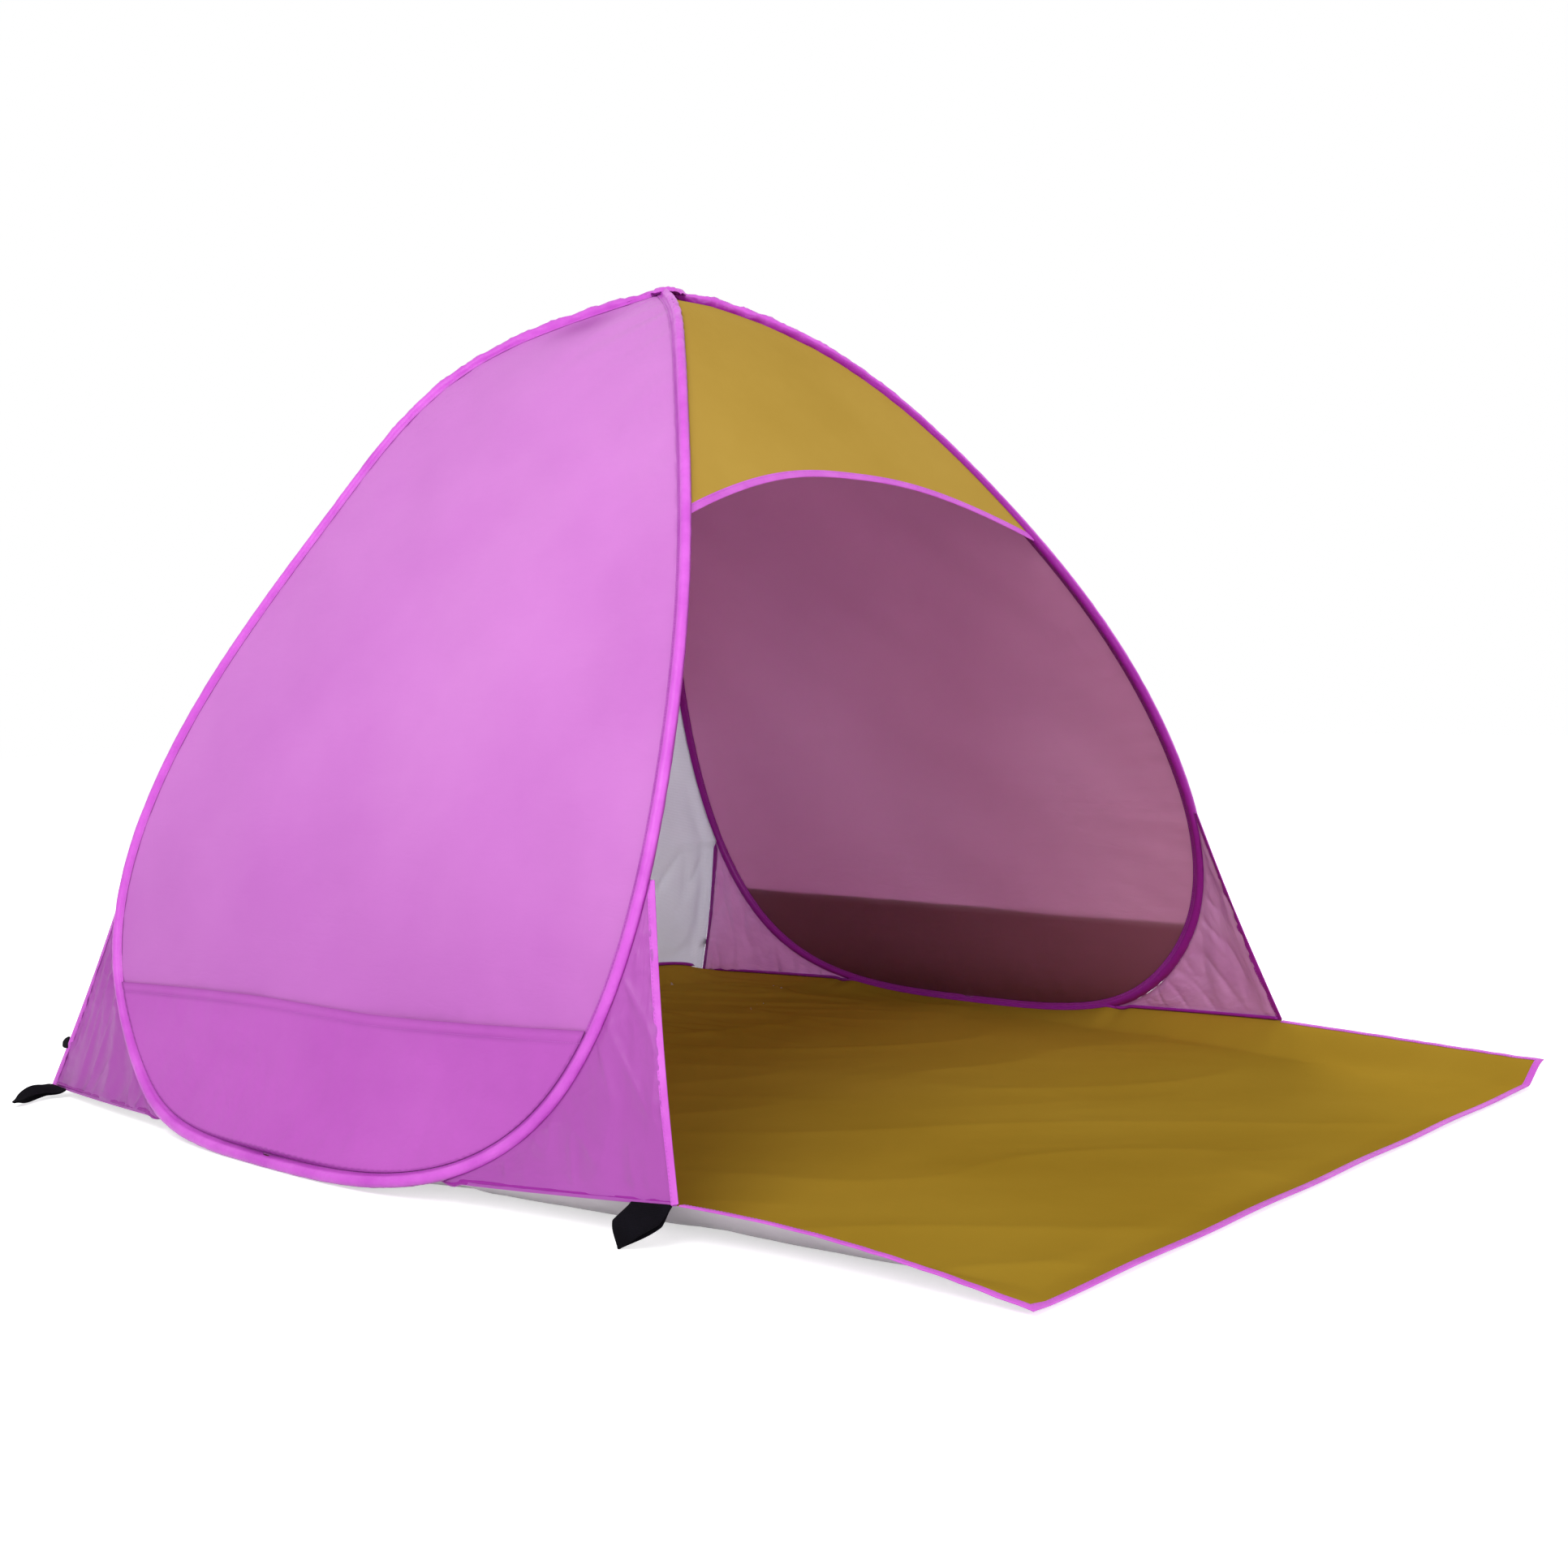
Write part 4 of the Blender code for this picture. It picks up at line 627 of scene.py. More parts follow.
def side_panel(side):
    grid, normals, runs = panel_rows(panel_first, 210, 150, panel_inset)
    wave = panel_wrinkles(grid, 31 if side == LEFT else 47)
    below = smooth_step((runs[:, None] - hem_runs(side, grid.shape[1])[None, :] - 0.002) / 0.004)
    near, _ = from_hoop(grid)
    y, z = grid[..., 1], grid[..., 2]
    # Painted shade: a dark line beside the sleeve's lip, a dark patch just under the apex, and a darkening
    # towards the foot where less light falls.
    painted_shade = 0.6 * bell((near - lip_reach - 0.0004) / 0.0012)
    painted_shade += 0.75 * np.exp(-(((y - 0.075) / 0.050) ** 2 + ((z - 1.045) / 0.022) ** 2))
    painted_shade += 0.28 * smooth_step((0.50 - z) / 0.35)
    wave = wave * (1.0 - 0.55 * below)
    # Painted light: soft pale patches on the inside, standing for lamp light shining through the cloth.
    glow = np.zeros(grid.shape[:2])
    for back, up, size, share in painted_light_patches:
        glow += share * np.exp(-(((y - back) / size) ** 2 + ((z - up) / size) ** 2))
    grid = grid + normals * wave[..., None]
    out = np.array([side, 0.0, 0.4])
    # Below the pocket's hem the inside gets painted shade, and the painted lamp glow stops there.
    marks = {"painted_layer_shade": below * 0.9, "painted_light_glow": glow.clip(0.0, 0.8) * (1.0 - below),
             "painted_shade": painted_shade}
    piece = cloth_sheet(SIDES[side] + "_leaf_panel", on_side(grid, side), [thin_pink, coated_inside], out,
                        marks=marks)
    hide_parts(SIDES[side] + "_side_panel")
    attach(piece, SIDES[side] + "_side")
    return piece


panels = {side: side_panel(side) for side in SIDES}


# ------------------------------------------------------------------------------
# Sand pockets
# A second piece of the same polyester covers the foot of each side panel on the outside. Its round edge is
# sewn under the sleeve and its straight top is hemmed, so it can be filled with sand. Empty, it hangs slack.

# The pocket is the panel's polyester in a darker copy: painted shade.
shaded_pocket_pink = cloth_finish("pocket_pink_polyester", (194, 96, 195), (181, 82, 183), 0.5, crinkle=0.25,
                           patch=3.0, shine=0.15, stretch=(1.0, 1.6))
# Painted shade: a darker pink in shadow lines along the hem and beside the sleeve.
paint_light_and_shade(shaded_pocket_pink, linear(138, 50, 142), "painted_shade")
pocket_inset = 0.0102
hem_depth = 0.013


def pocket_rows(side, rows, columns):
    """The pocket's grid on the right panel, from its hem down to the foot, with its normals."""
    first = run_at_level(pocket_hem_height + 0.03)
    fine, fine_normals, fine_runs = panel_rows(first, 260, columns, pocket_inset)
    grid, normals = np.zeros((rows, columns, 3)), np.zeros((rows, columns, 3))
    for j, first in enumerate(hem_runs(side, columns)):
        places = first + (foot_run - first) * np.linspace(0.0, 1.0, rows) ** 0.9
        for axis in range(3):
            grid[:, j, axis] = np.interp(places, fine_runs, fine[:, j, axis])
            normals[:, j, axis] = np.interp(places, fine_runs, fine_normals[:, j, axis])
    return grid, unit(normals)


def sand_pocket(side):
    seed = 61 if side == LEFT else 67
    grid, normals = pocket_rows(side, 110, 150)
    rows, columns = grid.shape[:2]
    down = np.linspace(0.0, 1.0, rows)[:, None]
    across = np.linspace(0.0, 1.0, columns)[None, :]
    slack = np.sin(math.pi * across) ** 0.7 * np.sin(math.pi * down ** 1.9).clip(0.0) ** 0.7
    near, place = from_hoop(grid)
    held = 1.0 - np.exp(-((near - pocket_inset) / 0.010).clip(0.0))
    y, z = grid[..., 1], grid[..., 2]
    swell = 0.0019 + 0.0085 * slack
    swell = swell + held * (0.0016 * rumple(y / 0.10 + z / 0.25, z / 0.035 - y / 0.6, seed)
                            + 0.0012 * rumple(place / 0.020, near / 0.09, seed + 1) * np.exp(-near / 0.05)
                            + 0.0006 * rumple(y / 0.02, z / 0.05, seed + 2))
    below_hem = np.stack([chord_lengths(grid[:, j]) for j in range(columns)], axis=1)
    hem = smooth_step((hem_depth - below_hem) / 0.0012)
    # Painted shade: dark lines at the hem's fold, along its top edge and beside the sleeve, where those edges
    # cast shadow.
    painted_shade = 0.35 * bell((below_hem - hem_depth) / 0.0011) + 0.3 * bell(below_hem / 0.0010)
    painted_shade += 0.6 * bell((near - lip_reach) / 0.0012)
    rim = 0.0004 * rumple(y / 0.03, 0.3, seed + 3)
    dent = 0.0005 * bell((below_hem - hem_depth - 0.001) / 0.0016)
    swell = swell.clip(0.0016) + hem * (0.0006 + rim) - dent
    grid = grid + normals * swell[..., None]
    # The pocket's own inside gets half the painted shade and no painted glow.
    marks = {"painted_layer_shade": np.full(grid.shape[:2], 0.5), "painted_light_glow": np.zeros(grid.shape[:2]),
             "painted_shade": painted_shade.clip(0.0, 1.0)}
    piece = cloth_sheet(SIDES[side] + "_pocket_patch", on_side(grid, side), [shaded_pocket_pink, coated_inside],
                        np.array([side, 0.0, 0.4]), marks=marks)
    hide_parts(SIDES[side] + "_sand_pocket")
    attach(piece, SIDES[side] + "_side")
    row = int(np.argmin(np.abs(below_hem[:, 0] - (hem_depth - 0.0016))))
    line = grid[row] + normals[row] * (cloth_thickness / 2.0 + 0.0001)
    stitch_lines[SIDES[side] + "_side"].append(on_side(line, side))
    return piece


pockets = {side: sand_pocket(side) for side in SIDES}


# ------------------------------------------------------------------------------
# Floor sheet
# The groundsheet and the apron in front of the doorway are one piece of coated cloth, gold on top and silver
# below. It lies on the ground, its edges are lifted by the gussets, and long low folds cross it.

front_corner_half_width, front_corner_reach, front_corner_lift = 0.622, 0.608, 0.044
rear_corner_half_width, rear_corner_reach, rear_corner_lift = 0.642, 0.586, 0.010
apron_depth, apron_half_width, apron_lie, apron_right_lift = 0.374, 0.597, 0.030, 0.030
floor_middle_half_width = foot_half_width - sleeve_radius - 0.002
side_band, end_band, edge_lift, edge_wave = 0.070, 0.044, 0.0045, 0.0007
rear_edge_rise, rear_rise_band = 0.034, 0.075
gusset_foot_height = {FRONT: 0.045, REAR: 0.034}
seam_drop, side_lift_power = 0.017, 4.4
corner_reach = {FRONT: front_corner_reach, REAR: rear_corner_reach}
corner_lift = {FRONT: front_corner_lift, REAR: rear_corner_lift}
seam_reach = {end: float(reach_on_run[end](run_at_level(level))[0])
              for end, level in gusset_foot_height.items()}
seam_lift = {end: level - seam_drop for end, level in gusset_foot_height.items()}
front_edge = -front_corner_reach - apron_depth

# Where the floor's edge is sewn to the sleeve round the foot of the hoop: under its inner side
foot_runs = np.linspace(run_at_level(0.060), foot_run, 400)
foot_line = {end: on_hoop(foot_runs, end) for end in ENDS}
sewn_drop = 0.0040
sewn_gap = 0.0006


def apron_share(y):
    return ((-np.asarray(y, dtype=float) - front_corner_reach) / apron_depth).clip(0.0)


def floor_middle(y):
    """The apron happens to lie a little to the right of the tent's middle."""
    return apron_lie * apron_share(y)


def by_end(y, values):
    return np.where(np.asarray(y, dtype=float) < 0.0, values[FRONT], values[REAR])


def sewn_edge(y):
    """Place across and height of the floor's edge where it follows the sleeve, and how closely it does."""
    y = np.asarray(y, dtype=float)
    across, height = np.zeros(y.shape), np.zeros(y.shape)
    for end in ENDS:
        here = (y < 0.0) == (end == FRONT)
        reach = foot_line[end][::-1, 1] * end
        across = np.where(here, np.interp(y * end, reach, foot_line[end][::-1, 0]), across)
        height = np.where(here, np.interp(y * end, reach, foot_line[end][::-1, 2]), height)
    share = smooth_step((by_end(y, seam_reach) - 0.008 - np.abs(y)) / 0.040)
    return across - math.sqrt(sleeve_radius ** 2 - sewn_drop ** 2) - sewn_gap, height - sewn_drop, share


def floor_half_width(y):
    """Half the floor's width at a place from rear to front; the apron narrows a little to its corners."""
    y = np.asarray(y, dtype=float)
    apron = front_corner_half_width + (apron_half_width - front_corner_half_width) * apron_share(y)
    corner = by_end(y, {FRONT: front_corner_half_width, REAR: rear_corner_half_width})
    inside = floor_middle_half_width + (corner - floor_middle_half_width) * (y / by_end(y, corner_reach)) ** 2
    sewn, _, share = sewn_edge(y)
    return np.where(y < -front_corner_reach, apron, inside * (1.0 - share) + sewn * share)


def side_lift(side, y):
    """How far the floor's side edge stands off the ground; side is -1 or 1 for each place."""
    y = np.asarray(y, dtype=float)
    share = apron_share(y)
    left = edge_lift + (front_corner_lift - edge_lift) * (1.0 - share ** 2).clip(0.0)
    right = front_corner_lift + (apron_right_lift - front_corner_lift) * share
    reach, lift = by_end(y, seam_reach), by_end(y, seam_lift)
    beyond = ((np.abs(y) - reach) / (by_end(y, corner_reach) - reach)).clip(0.0)
    inside = np.where(np.abs(y) < reach, lift * (np.abs(y) / reach) ** side_lift_power,
                      lift + (by_end(y, corner_lift) - lift) * beyond)
    _, sewn, follow = sewn_edge(y)
    inside = inside * (1.0 - follow) + sewn * follow
    return np.where(y < -front_corner_reach, np.where(side < 0.0, left, right), inside)


def floor_folds(across, y):
    """Low folds of the floor cloth, which stand up from the ground; most run from rear left to front right."""
    run, cross = across * 0.80 - y * 0.60, across * 0.60 + y * 0.80
    long = creases(run / 0.50, cross / 0.21 + run / 1.3, 71) * 0.0034
    patchy = (0.5 + rumple(run / 0.3, cross / 0.3, 74)).clip(0.0)
    short = creases(run / 0.20 + cross / 0.4, cross / 0.090, 73) * 0.0010 * patchy
    soft = (rumple(run / 0.40, cross / 0.22, 75) * 0.5 + 0.5) * 0.0040
    rear = smooth_step((y + 0.1) / 0.4)
    gather = creases(across / 0.075 + y / 0.5, y / 0.20, 77) * 0.0060 * rear
    from_side = floor_half_width(y) - np.abs(across)
    from_end = np.minimum(rear_corner_reach - y, y - front_edge)
    return (long + short + soft + gather) * smooth_step((np.minimum(from_side, from_end) - 0.016) / 0.06)


def floor_level(x, y, folds=True):
    """Height of the floor cloth's underside over the ground."""
    x, y = np.broadcast_arrays(np.asarray(x, dtype=float), np.asarray(y, dtype=float))
    across = x - floor_middle(y)
    half = floor_half_width(y)
    height = side_lift(np.sign(across), y) * smooth_step((np.abs(across) - (half - side_band)) / side_band)
    wave = edge_lift + edge_wave * np.sin(5.0 * math.pi * across / half)
    height = np.maximum(height, wave * smooth_step((front_edge + end_band - y) / end_band))
    rear_lift = edge_lift + (rear_corner_lift - edge_lift) * np.abs(across / half).clip(0.0, 1.0) ** 6
    height = np.maximum(height, rear_lift * smooth_step((y - (rear_corner_reach - end_band)) / end_band))
    uneven = 0.92 + 0.08 * rumple(across / 0.14, 0.4, 81)
    risen = rear_edge_rise * (1.0 - np.abs(across / half).clip(0.0, 1.0) ** 9) * uneven
    height = height + risen * smooth_step((y - (rear_corner_reach - rear_rise_band)) / rear_rise_band)
    apron = smooth_step((-y - front_corner_reach - 0.03) / 0.06)
    flutter = 0.0016 * rumple(y / 0.05, 0.2, 79) * smooth_step((np.abs(across) - (half - 0.03)) / 0.03) * apron
    if folds:
        height = height + np.abs(flutter) + floor_folds(across, y)
    return height + 0.0003


floor_gold = cloth_finish("gold_floor_cloth", (166, 134, 44), (152, 120, 34), 0.45, thread=0.0012,
                          weave=0.05, crinkle=0.2, crinkle_width=0.05, patch=1.6, shine=0.0,
                          stretch=(1.6, 0.8))
floor_silver = cloth_finish("silver_coated_underside", (204, 196, 202), (184, 176, 182), 0.4, thread=0.0012,
                            weave=0.05, crinkle=0.4, patch=6.0)
pink_tape = cloth_finish("pink_binding_tape", (216, 104, 218), (200, 84, 202), 0.42, thread=0.001,
                         weave=0.3, crinkle_width=0.012, patch=22.0, sheen=0.05, shine=0.25)
# Painted shade: the tape turns dark purple where it is marked, on the side facing into the tent.
paint_light_and_shade(pink_tape, linear(150, 30, 150), "painted_inner_shade")


def sew_on(piece, other):
    """Take another mesh into a piece that it is sewn to all along."""
    start = len(piece.data.materials)
    kinds = np.zeros(len(other.data.polygons), dtype=np.int32)
    other.data.polygons.foreach_get("material_index", kinds)
    other.data.polygons.foreach_set("material_index", kinds + start)
    for finish in other.data.materials:
        piece.data.materials.append(finish)
    builder = bmesh.new()
    builder.from_mesh(piece.data)
    builder.from_mesh(other.data)
    builder.to_mesh(piece.data)
    builder.free()
    bpy.data.objects.remove(other, do_unlink=True)


def bound_seam(name, path, radius=0.0026):
    """A seam allowance bound with tape, which stands inside along the floor's edge as a small ridge."""
    path = np.asarray(path, dtype=float)
    along = unit(np.gradient(path, axis=0))
    beside = unit(np.cross(along, [0.0, 0.0, 1.0]))
    above = np.cross(beside, along)
    lengths = chord_lengths(path)
    size = radius * (1.0 + 0.12 * rumple(lengths / 0.02, 0.3, 91)) * smooth_step(lengths / 0.004 + 0.2)
    size = size * smooth_step((lengths[-1] - lengths) / 0.004 + 0.2)
    turns = np.linspace(0.0, 2.0 * math.pi, 9)[:-1]
    cosines, sines = np.cos(turns)[None, :, None], np.sin(turns)[None, :, None]
    size = size[:, None, None]
    rings = path[:, None] + beside[:, None] * cosines * size + above[:, None] * sines * size
    # The whole bound seam gets the painted shade colour.
    return swept(name, rings, pink_tape, marks={"painted_inner_shade": np.ones(8)})


def floor_sheet():
    rows = np.concatenate([np.linspace(rear_corner_reach, rear_corner_reach - 0.05, 14)[:-1],
                           np.linspace(rear_corner_reach - 0.05, front_edge + 0.05, 190)[:-1],
                           np.linspace(front_edge + 0.05, front_edge, 14)])
    shares = np.linspace(-1.0, 1.0, 171)
    shares = np.sign(shares) * (1.0 - (1.0 - np.abs(shares)) ** 1.25)
    y = np.repeat(rows[:, None], len(shares), axis=1)
    x = floor_middle(y) + floor_half_width(y) * shares[None, :]
    z = floor_level(x, y) + cloth_thickness / 2.0
    grid = np.stack([x, y, z], axis=-1)
    lengths = np.stack([x, rear_corner_reach - y], axis=-1)
    up = np.array([0.0, 0.0, 1.0])
    piece = cloth_sheet("floor_cloth", grid, [floor_gold, floor_silver], up, lengths=lengths)
    for side in SIDES:
        y = np.linspace(seam_reach[REAR] + 0.012, -seam_reach[FRONT] - 0.012, 160)
        x = floor_half_width(y) - 0.0012
        path = np.stack([x, y, floor_level(x, y) + 0.0016], axis=1)
        sew_on(piece, bound_seam("foot_seam", on_side(path, side)))
    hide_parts("floor_sheet")
    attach(piece, "left_side")
    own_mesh(piece)
    return piece


floor_cloth = floor_sheet()


# ------------------------------------------------------------------------------
# Apron binding
# A pink polyester tape is folded over the three free edges of the apron and sewn through with one row of
# stitches. It turns the two front corners in a mitre and waves a little with the cloth.

tape_wall = 0.0005
tape_gap = 0.00015


def folded_tape(name, rims, deeps, normals, inner_shade=0.0):
    """A tape folded over an edge: rims lie on the cloth's edge, deeps where the tape ends on the cloth.

    inner_shade says how much painted shade the tape gets on the side away from the normals.
    """
    rims, deeps = np.asarray(rims, dtype=float), np.asarray(deeps, dtype=float)
    inner = cloth_thickness / 2.0 + tape_gap
    outer = inner + tape_wall
    away = unit(rims - deeps)
    rings = []
    for rim, deep, normal, out in zip(rims, deeps, normals, away):
        middle, ring = deep * 0.5 + rim * 0.5, []
        for level, swell, face in ((outer, 0.0002, 1.0), (inner, 0.0, -1.0)):
            stand = normal * level * face
            bulge = normal * (level + swell) * face
            ring += [deep + stand, middle + bulge, rim + stand]
            for turn in (60.0, 30.0, 0.0, -30.0, -60.0):
                a = math.radians(turn * face)
                ring.append(rim + out * level * math.cos(a) + normal * level * math.sin(a))
            ring += [rim - stand, middle - bulge, deep - stand]
        rings.append(ring)
    # Painted shade on the tape's side away from the normals, fading in from the fold.
    shade = np.concatenate([np.zeros(4), [0.25, 0.5, 0.75], np.ones(15)]) * inner_shade
    return swept(name, rings, pink_tape, sharp=50, marks={"painted_inner_shade": shade})


def tape_stitches(rims, deeps, normals, share=0.8):
    """Two rows of stitch places, on the upper and the lower face of a folded tape near its edge."""
    line = np.asarray(rims) * (1.0 - share) + np.asarray(deeps) * share
    lift = cloth_thickness / 2.0 + tape_gap + tape_wall + 0.00025
    return [line + np.asarray(normals) * lift, line - np.asarray(normals) * lift]


apron_tape_depth = 0.0080


def apron_binding():
    left = [(-1.0, y) for y in np.linspace(-front_corner_reach - 0.002, front_edge, 90)[:-1]]
    front = [(share, front_edge) for share in np.linspace(-1.0, 1.0, 240)]
    right = [(1.0, y) for y in np.linspace(front_edge, -front_corner_reach - 0.002, 90)[1:]]
    path = np.array(left + front + right)
    x, y = floor_middle(path[:, 1]) + path[:, 0] * floor_half_width(path[:, 1]), path[:, 1]
    deep_y = np.maximum(y, front_edge + apron_tape_depth)
    half = floor_half_width(deep_y) - apron_tape_depth
    deep_x = np.clip(x, floor_middle(deep_y) - half, floor_middle(deep_y) + half)
    sink = cloth_thickness / 2.0
    rims = np.stack([x, y, floor_level(x, y) + sink], axis=1)
    deeps = np.stack([deep_x, deep_y, floor_level(deep_x, deep_y) + sink], axis=1)
    along = unit(np.gradient(rims, axis=0))
    normals = unit(np.cross(deeps - rims, along))
    normals *= np.sign(normals[:, 2:])
    piece = folded_tape("apron_edge_tape", rims, deeps, normals)
    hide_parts("apron_binding")
    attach(piece, "left_side")
    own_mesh(piece)
    stitch_lines["apron"] += tape_stitches(rims, deeps, normals)


apron_binding()


# ------------------------------------------------------------------------------
# Gussets and their bindings
# Four three-cornered walls of coated pink cloth join the hoops to the corners of the floor. The cloth is
# crisp and takes sharp creases, its inside is silvered, and a folded tape closes its free edge.

gusset_outside = cloth_finish("coated_pink_gusset", (190, 94, 194), (176, 80, 180), 0.38,
                              crinkle_width=0.022, shine=0.35, stretch=(1.0, 0.5))
gusset_inside = cloth_finish("silvered_gusset_inside", (228, 180, 214), (196, 134, 178), 0.24, crinkle=0.6,
                             crinkle_width=0.018, patch=9.0, coat=0.3, shine=0.7, stretch=(1.0, 0.5))
let_light_through(gusset_outside, linear(238, 186, 238), 0.24)
let_light_through(gusset_inside, linear(238, 196, 232), 0.42)
gusset_tape_depth = 0.0072
gusset_top_height = {FRONT: 0.350, REAR: 0.262}
gusset_corner_level = {FRONT: 0.172, REAR: 0.076}
gusset_tail_height = {FRONT: 0.0345, REAR: 0.026}
gusset_inset, gusset_setback, gusset_top_width, jamb_draw = -0.0007, 0.0066, 0.003, 0.004
gusset_turn_share = {}
for end in ENDS:
    heights = gusset_top_height, gusset_corner_level, gusset_tail_height
    top, corner, foot = (run_at_level(height[end]) for height in heights)
    gusset_turn_share[end] = (corner - top) / (foot - top)


def seam_point(y):
    """A point of the gusset's lower edge over the floor's right side."""
    x = floor_half_width(y) - gusset_inset
    return np.stack([x, np.asarray(y, dtype=float), floor_level(x, y) - 0.0004], axis=-1)


def square_to(directions, along):
    """Directions with their part along the hoop taken out."""
    return unit(directions - np.sum(directions * along, axis=-1, keepdims=True) * along)


def gusset_grid(end, rows=150, columns=64):
    """Rows across the right gusset from the hoop to its free edge, and the share of the row at the corner."""
    runs = np.linspace(run_at_level(gusset_top_height[end]), run_at_level(gusset_tail_height[end]), rows)
    points, along, _ = arc_frames(runs, end)
    corner = seam_point(end * (corner_reach[end] - gusset_inset))
    top = points[0]
    start = top + square_to(corner - top, along[0]) * (0.0079 + gusset_top_width)
    draw = unit(points[rows // 2] - (top + corner) / 2.0) * jamb_draw
    shares = np.linspace(0.0, 1.0, rows)
    turn = gusset_turn_share[end]
    down = (shares / turn).clip(0.0, 1.0)[:, None]
    jamb = start + (corner - start) * down + draw * np.sin(math.pi * down)
    y = corner[1] + (points[-1][1] - corner[1]) * ((shares - turn) / (1.0 - turn)).clip(0.0, 1.0)
    free = np.where(shares[:, None] <= turn, jamb, seam_point(y))
    seam = points + square_to(free - points, along) * gusset_setback
    across = np.linspace(0.0, 1.0, columns)[None, :, None]
    return seam[:, None, :] * (1.0 - across) + free[:, None, :] * across, corner, top


def crumpled_gusset(end, seed):
    grid, corner, top = gusset_grid(end)
    rows, columns = grid.shape[:2]
    normals = normals_towards(grid, (1.0, 0.0, 0.0))
    lengthwise = unit(corner - top)
    middle = normals[rows // 2, columns // 2]
    crosswise = np.cross(middle, lengthwise)
    p = (grid - top) @ lengthwise
    q = (grid - top) @ crosswise
    across = np.linspace(0.0, 1.0, columns)[None, :]
    down = np.linspace(0.0, 1.0, rows)[:, None]
    width = np.linalg.norm(grid[:, -1] - grid[:, 0], axis=1)[:, None]
    held = smooth_step(across * width / 0.012) * smooth_step((1.0 - across) * width / 0.016)
    near_foot = smooth_step((down - gusset_turn_share[end]) / 0.1)
    held_foot = 1.0 - near_foot * (1.0 - smooth_step((1.0 - across) * width / 0.03))
    fan = rumple(np.arctan2(q, p + 0.03) / 0.13, p / 0.45, seed) * (0.4 + p / 0.35)
    sharp = creases(p / 0.14 + q / 0.4, q / 0.035 + p / 0.3, seed + 1)
    by_seam = np.exp(-np.minimum(across, 1.0 - across) * width / 0.022)
    small = creases(p / 0.026 + q / 0.07, q / 0.030 - p / 0.10, seed + 2) * (0.25 + by_seam)
    pull = rumple(p / 0.013, q / 0.05, seed + 3) * np.exp(-((1.0 - across) * width) / 0.030)
    wave = 0.0044 * fan + 0.0026 * sharp + 0.0012 * small + 0.0016 * pull - 0.0010
    wave = wave * held * held_foot
    by_corner = smooth_step((0.105 - np.linalg.norm(grid - corner, axis=-1)) / 0.05)
    wave = wave - by_corner * wave.clip(0.0)
    return grid + normals * wave[..., None], normals


for end, end_name in ENDS.items():
    for side, side_name in SIDES.items():
        grid, normals = crumpled_gusset(end, 101 + 7 * side + 29 * end)
        name = end_name + "_" + side_name
        out = np.array([side * 1.0, 0.25 * end, 0.1])
        piece = cloth_sheet(name + "_corner_wall", on_side(grid, side), [gusset_outside, gusset_inside], out)
        foot = int(gusset_turn_share[end] * (grid.shape[0] - 1)) + 2
        ridge = grid[foot:, -1] + np.array([-0.0032, 0.0, 0.0036])
        sew_on(piece, bound_seam(name + "_seam", on_side(ridge, side)))
        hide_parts(name + "_gusset")
        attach(piece, side_name + "_side")
        rows = foot - 1
        widths = np.linalg.norm(grid[:rows, -1] - grid[:rows, 0], axis=1, keepdims=True)
        rims = grid[:rows, -1]
        inwards = square_to(grid[:rows, -6] - rims, unit(np.gradient(rims, axis=0)))
        deeps = rims + inwards * np.minimum(gusset_tape_depth, widths * 0.75)
        side_normals = normals[:rows, -1]
        tape = folded_tape(name + "_wall_tape", on_side(rims, side), on_side(deeps, side),
                           on_side(side_normals, side), inner_shade=1.0)
        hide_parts(name + "_gusset_binding")
        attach(tape, side_name + "_side")
        for line in tape_stitches(rims, deeps, side_normals):
            stitch_lines[side_name + "_side"].append(on_side(line, side))


# ------------------------------------------------------------------------------
# Front upper panel and doorway binding
# Smooth gold polyester is stretched between the two hoops from the apex to the top of the doorway. A folded
# pink tape closes its arched lower edge.

gold_cloth = cloth_finish("gold_polyester", (186, 152, 70), (175, 141, 60), 0.5, crinkle=0.12,
                          crinkle_width=0.04, patch=3.0, shine=0.0)
# The inside is the same gold cloth in a darker copy: painted shade for the face that looks into the tent.
shaded_gold_inside = cloth_finish("gold_polyester_inside", (150, 118, 52), (132, 100, 40), 0.5, crinkle=0.12,
                           crinkle_width=0.04, patch=3.0, shine=0.0)
arch_end_height, arch_rise, arch_roundness = 0.742, 0.066, 2.4
between_setback = 0.0062
doorway_tape_depth = 0.0092


def between_edge(runs, end):
    """Right edge of a cloth stretched between the hoops, at the sleeve's skin."""
    points, along, _ = arc_frames(runs, end)
    points[:, 0] -= between_setback / np.sqrt(1.0 - along[:, 0] ** 2)
    return points


def front_grid(rows=120, columns=161):
    shares = np.linspace(-1.0, 1.0, columns)
    first = run_at_level(1.0715)
    grid = np.zeros((rows, columns, 3))
    for j, across in enumerate(shares):
        foot = run_at_level(arch_end_height + arch_rise * (1.0 - abs(across) ** arch_roundness))
        grid[:, j] = between_edge(np.linspace(first, foot, rows), FRONT)
        grid[:, j, 0] *= across
    normals = normals_towards(grid, (0.0, -1.0, 0.0))
    x, z = grid[..., 0], grid[..., 2]
    side_gap = (1.0 - np.abs(shares))[None, :] * np.abs(grid[:, -1:, 0])
    held = smooth_step(side_gap / 0.03)
    pull = rumple(z / 0.022, side_gap / 0.09, 131) * np.exp(-side_gap / 0.035)
    wave = 0.0009 * pull * smooth_step(side_gap / 0.006) + held * 0.0012 * rumple(x / 0.20, z / 0.12, 133)
    return grid + normals * wave[..., None], normals


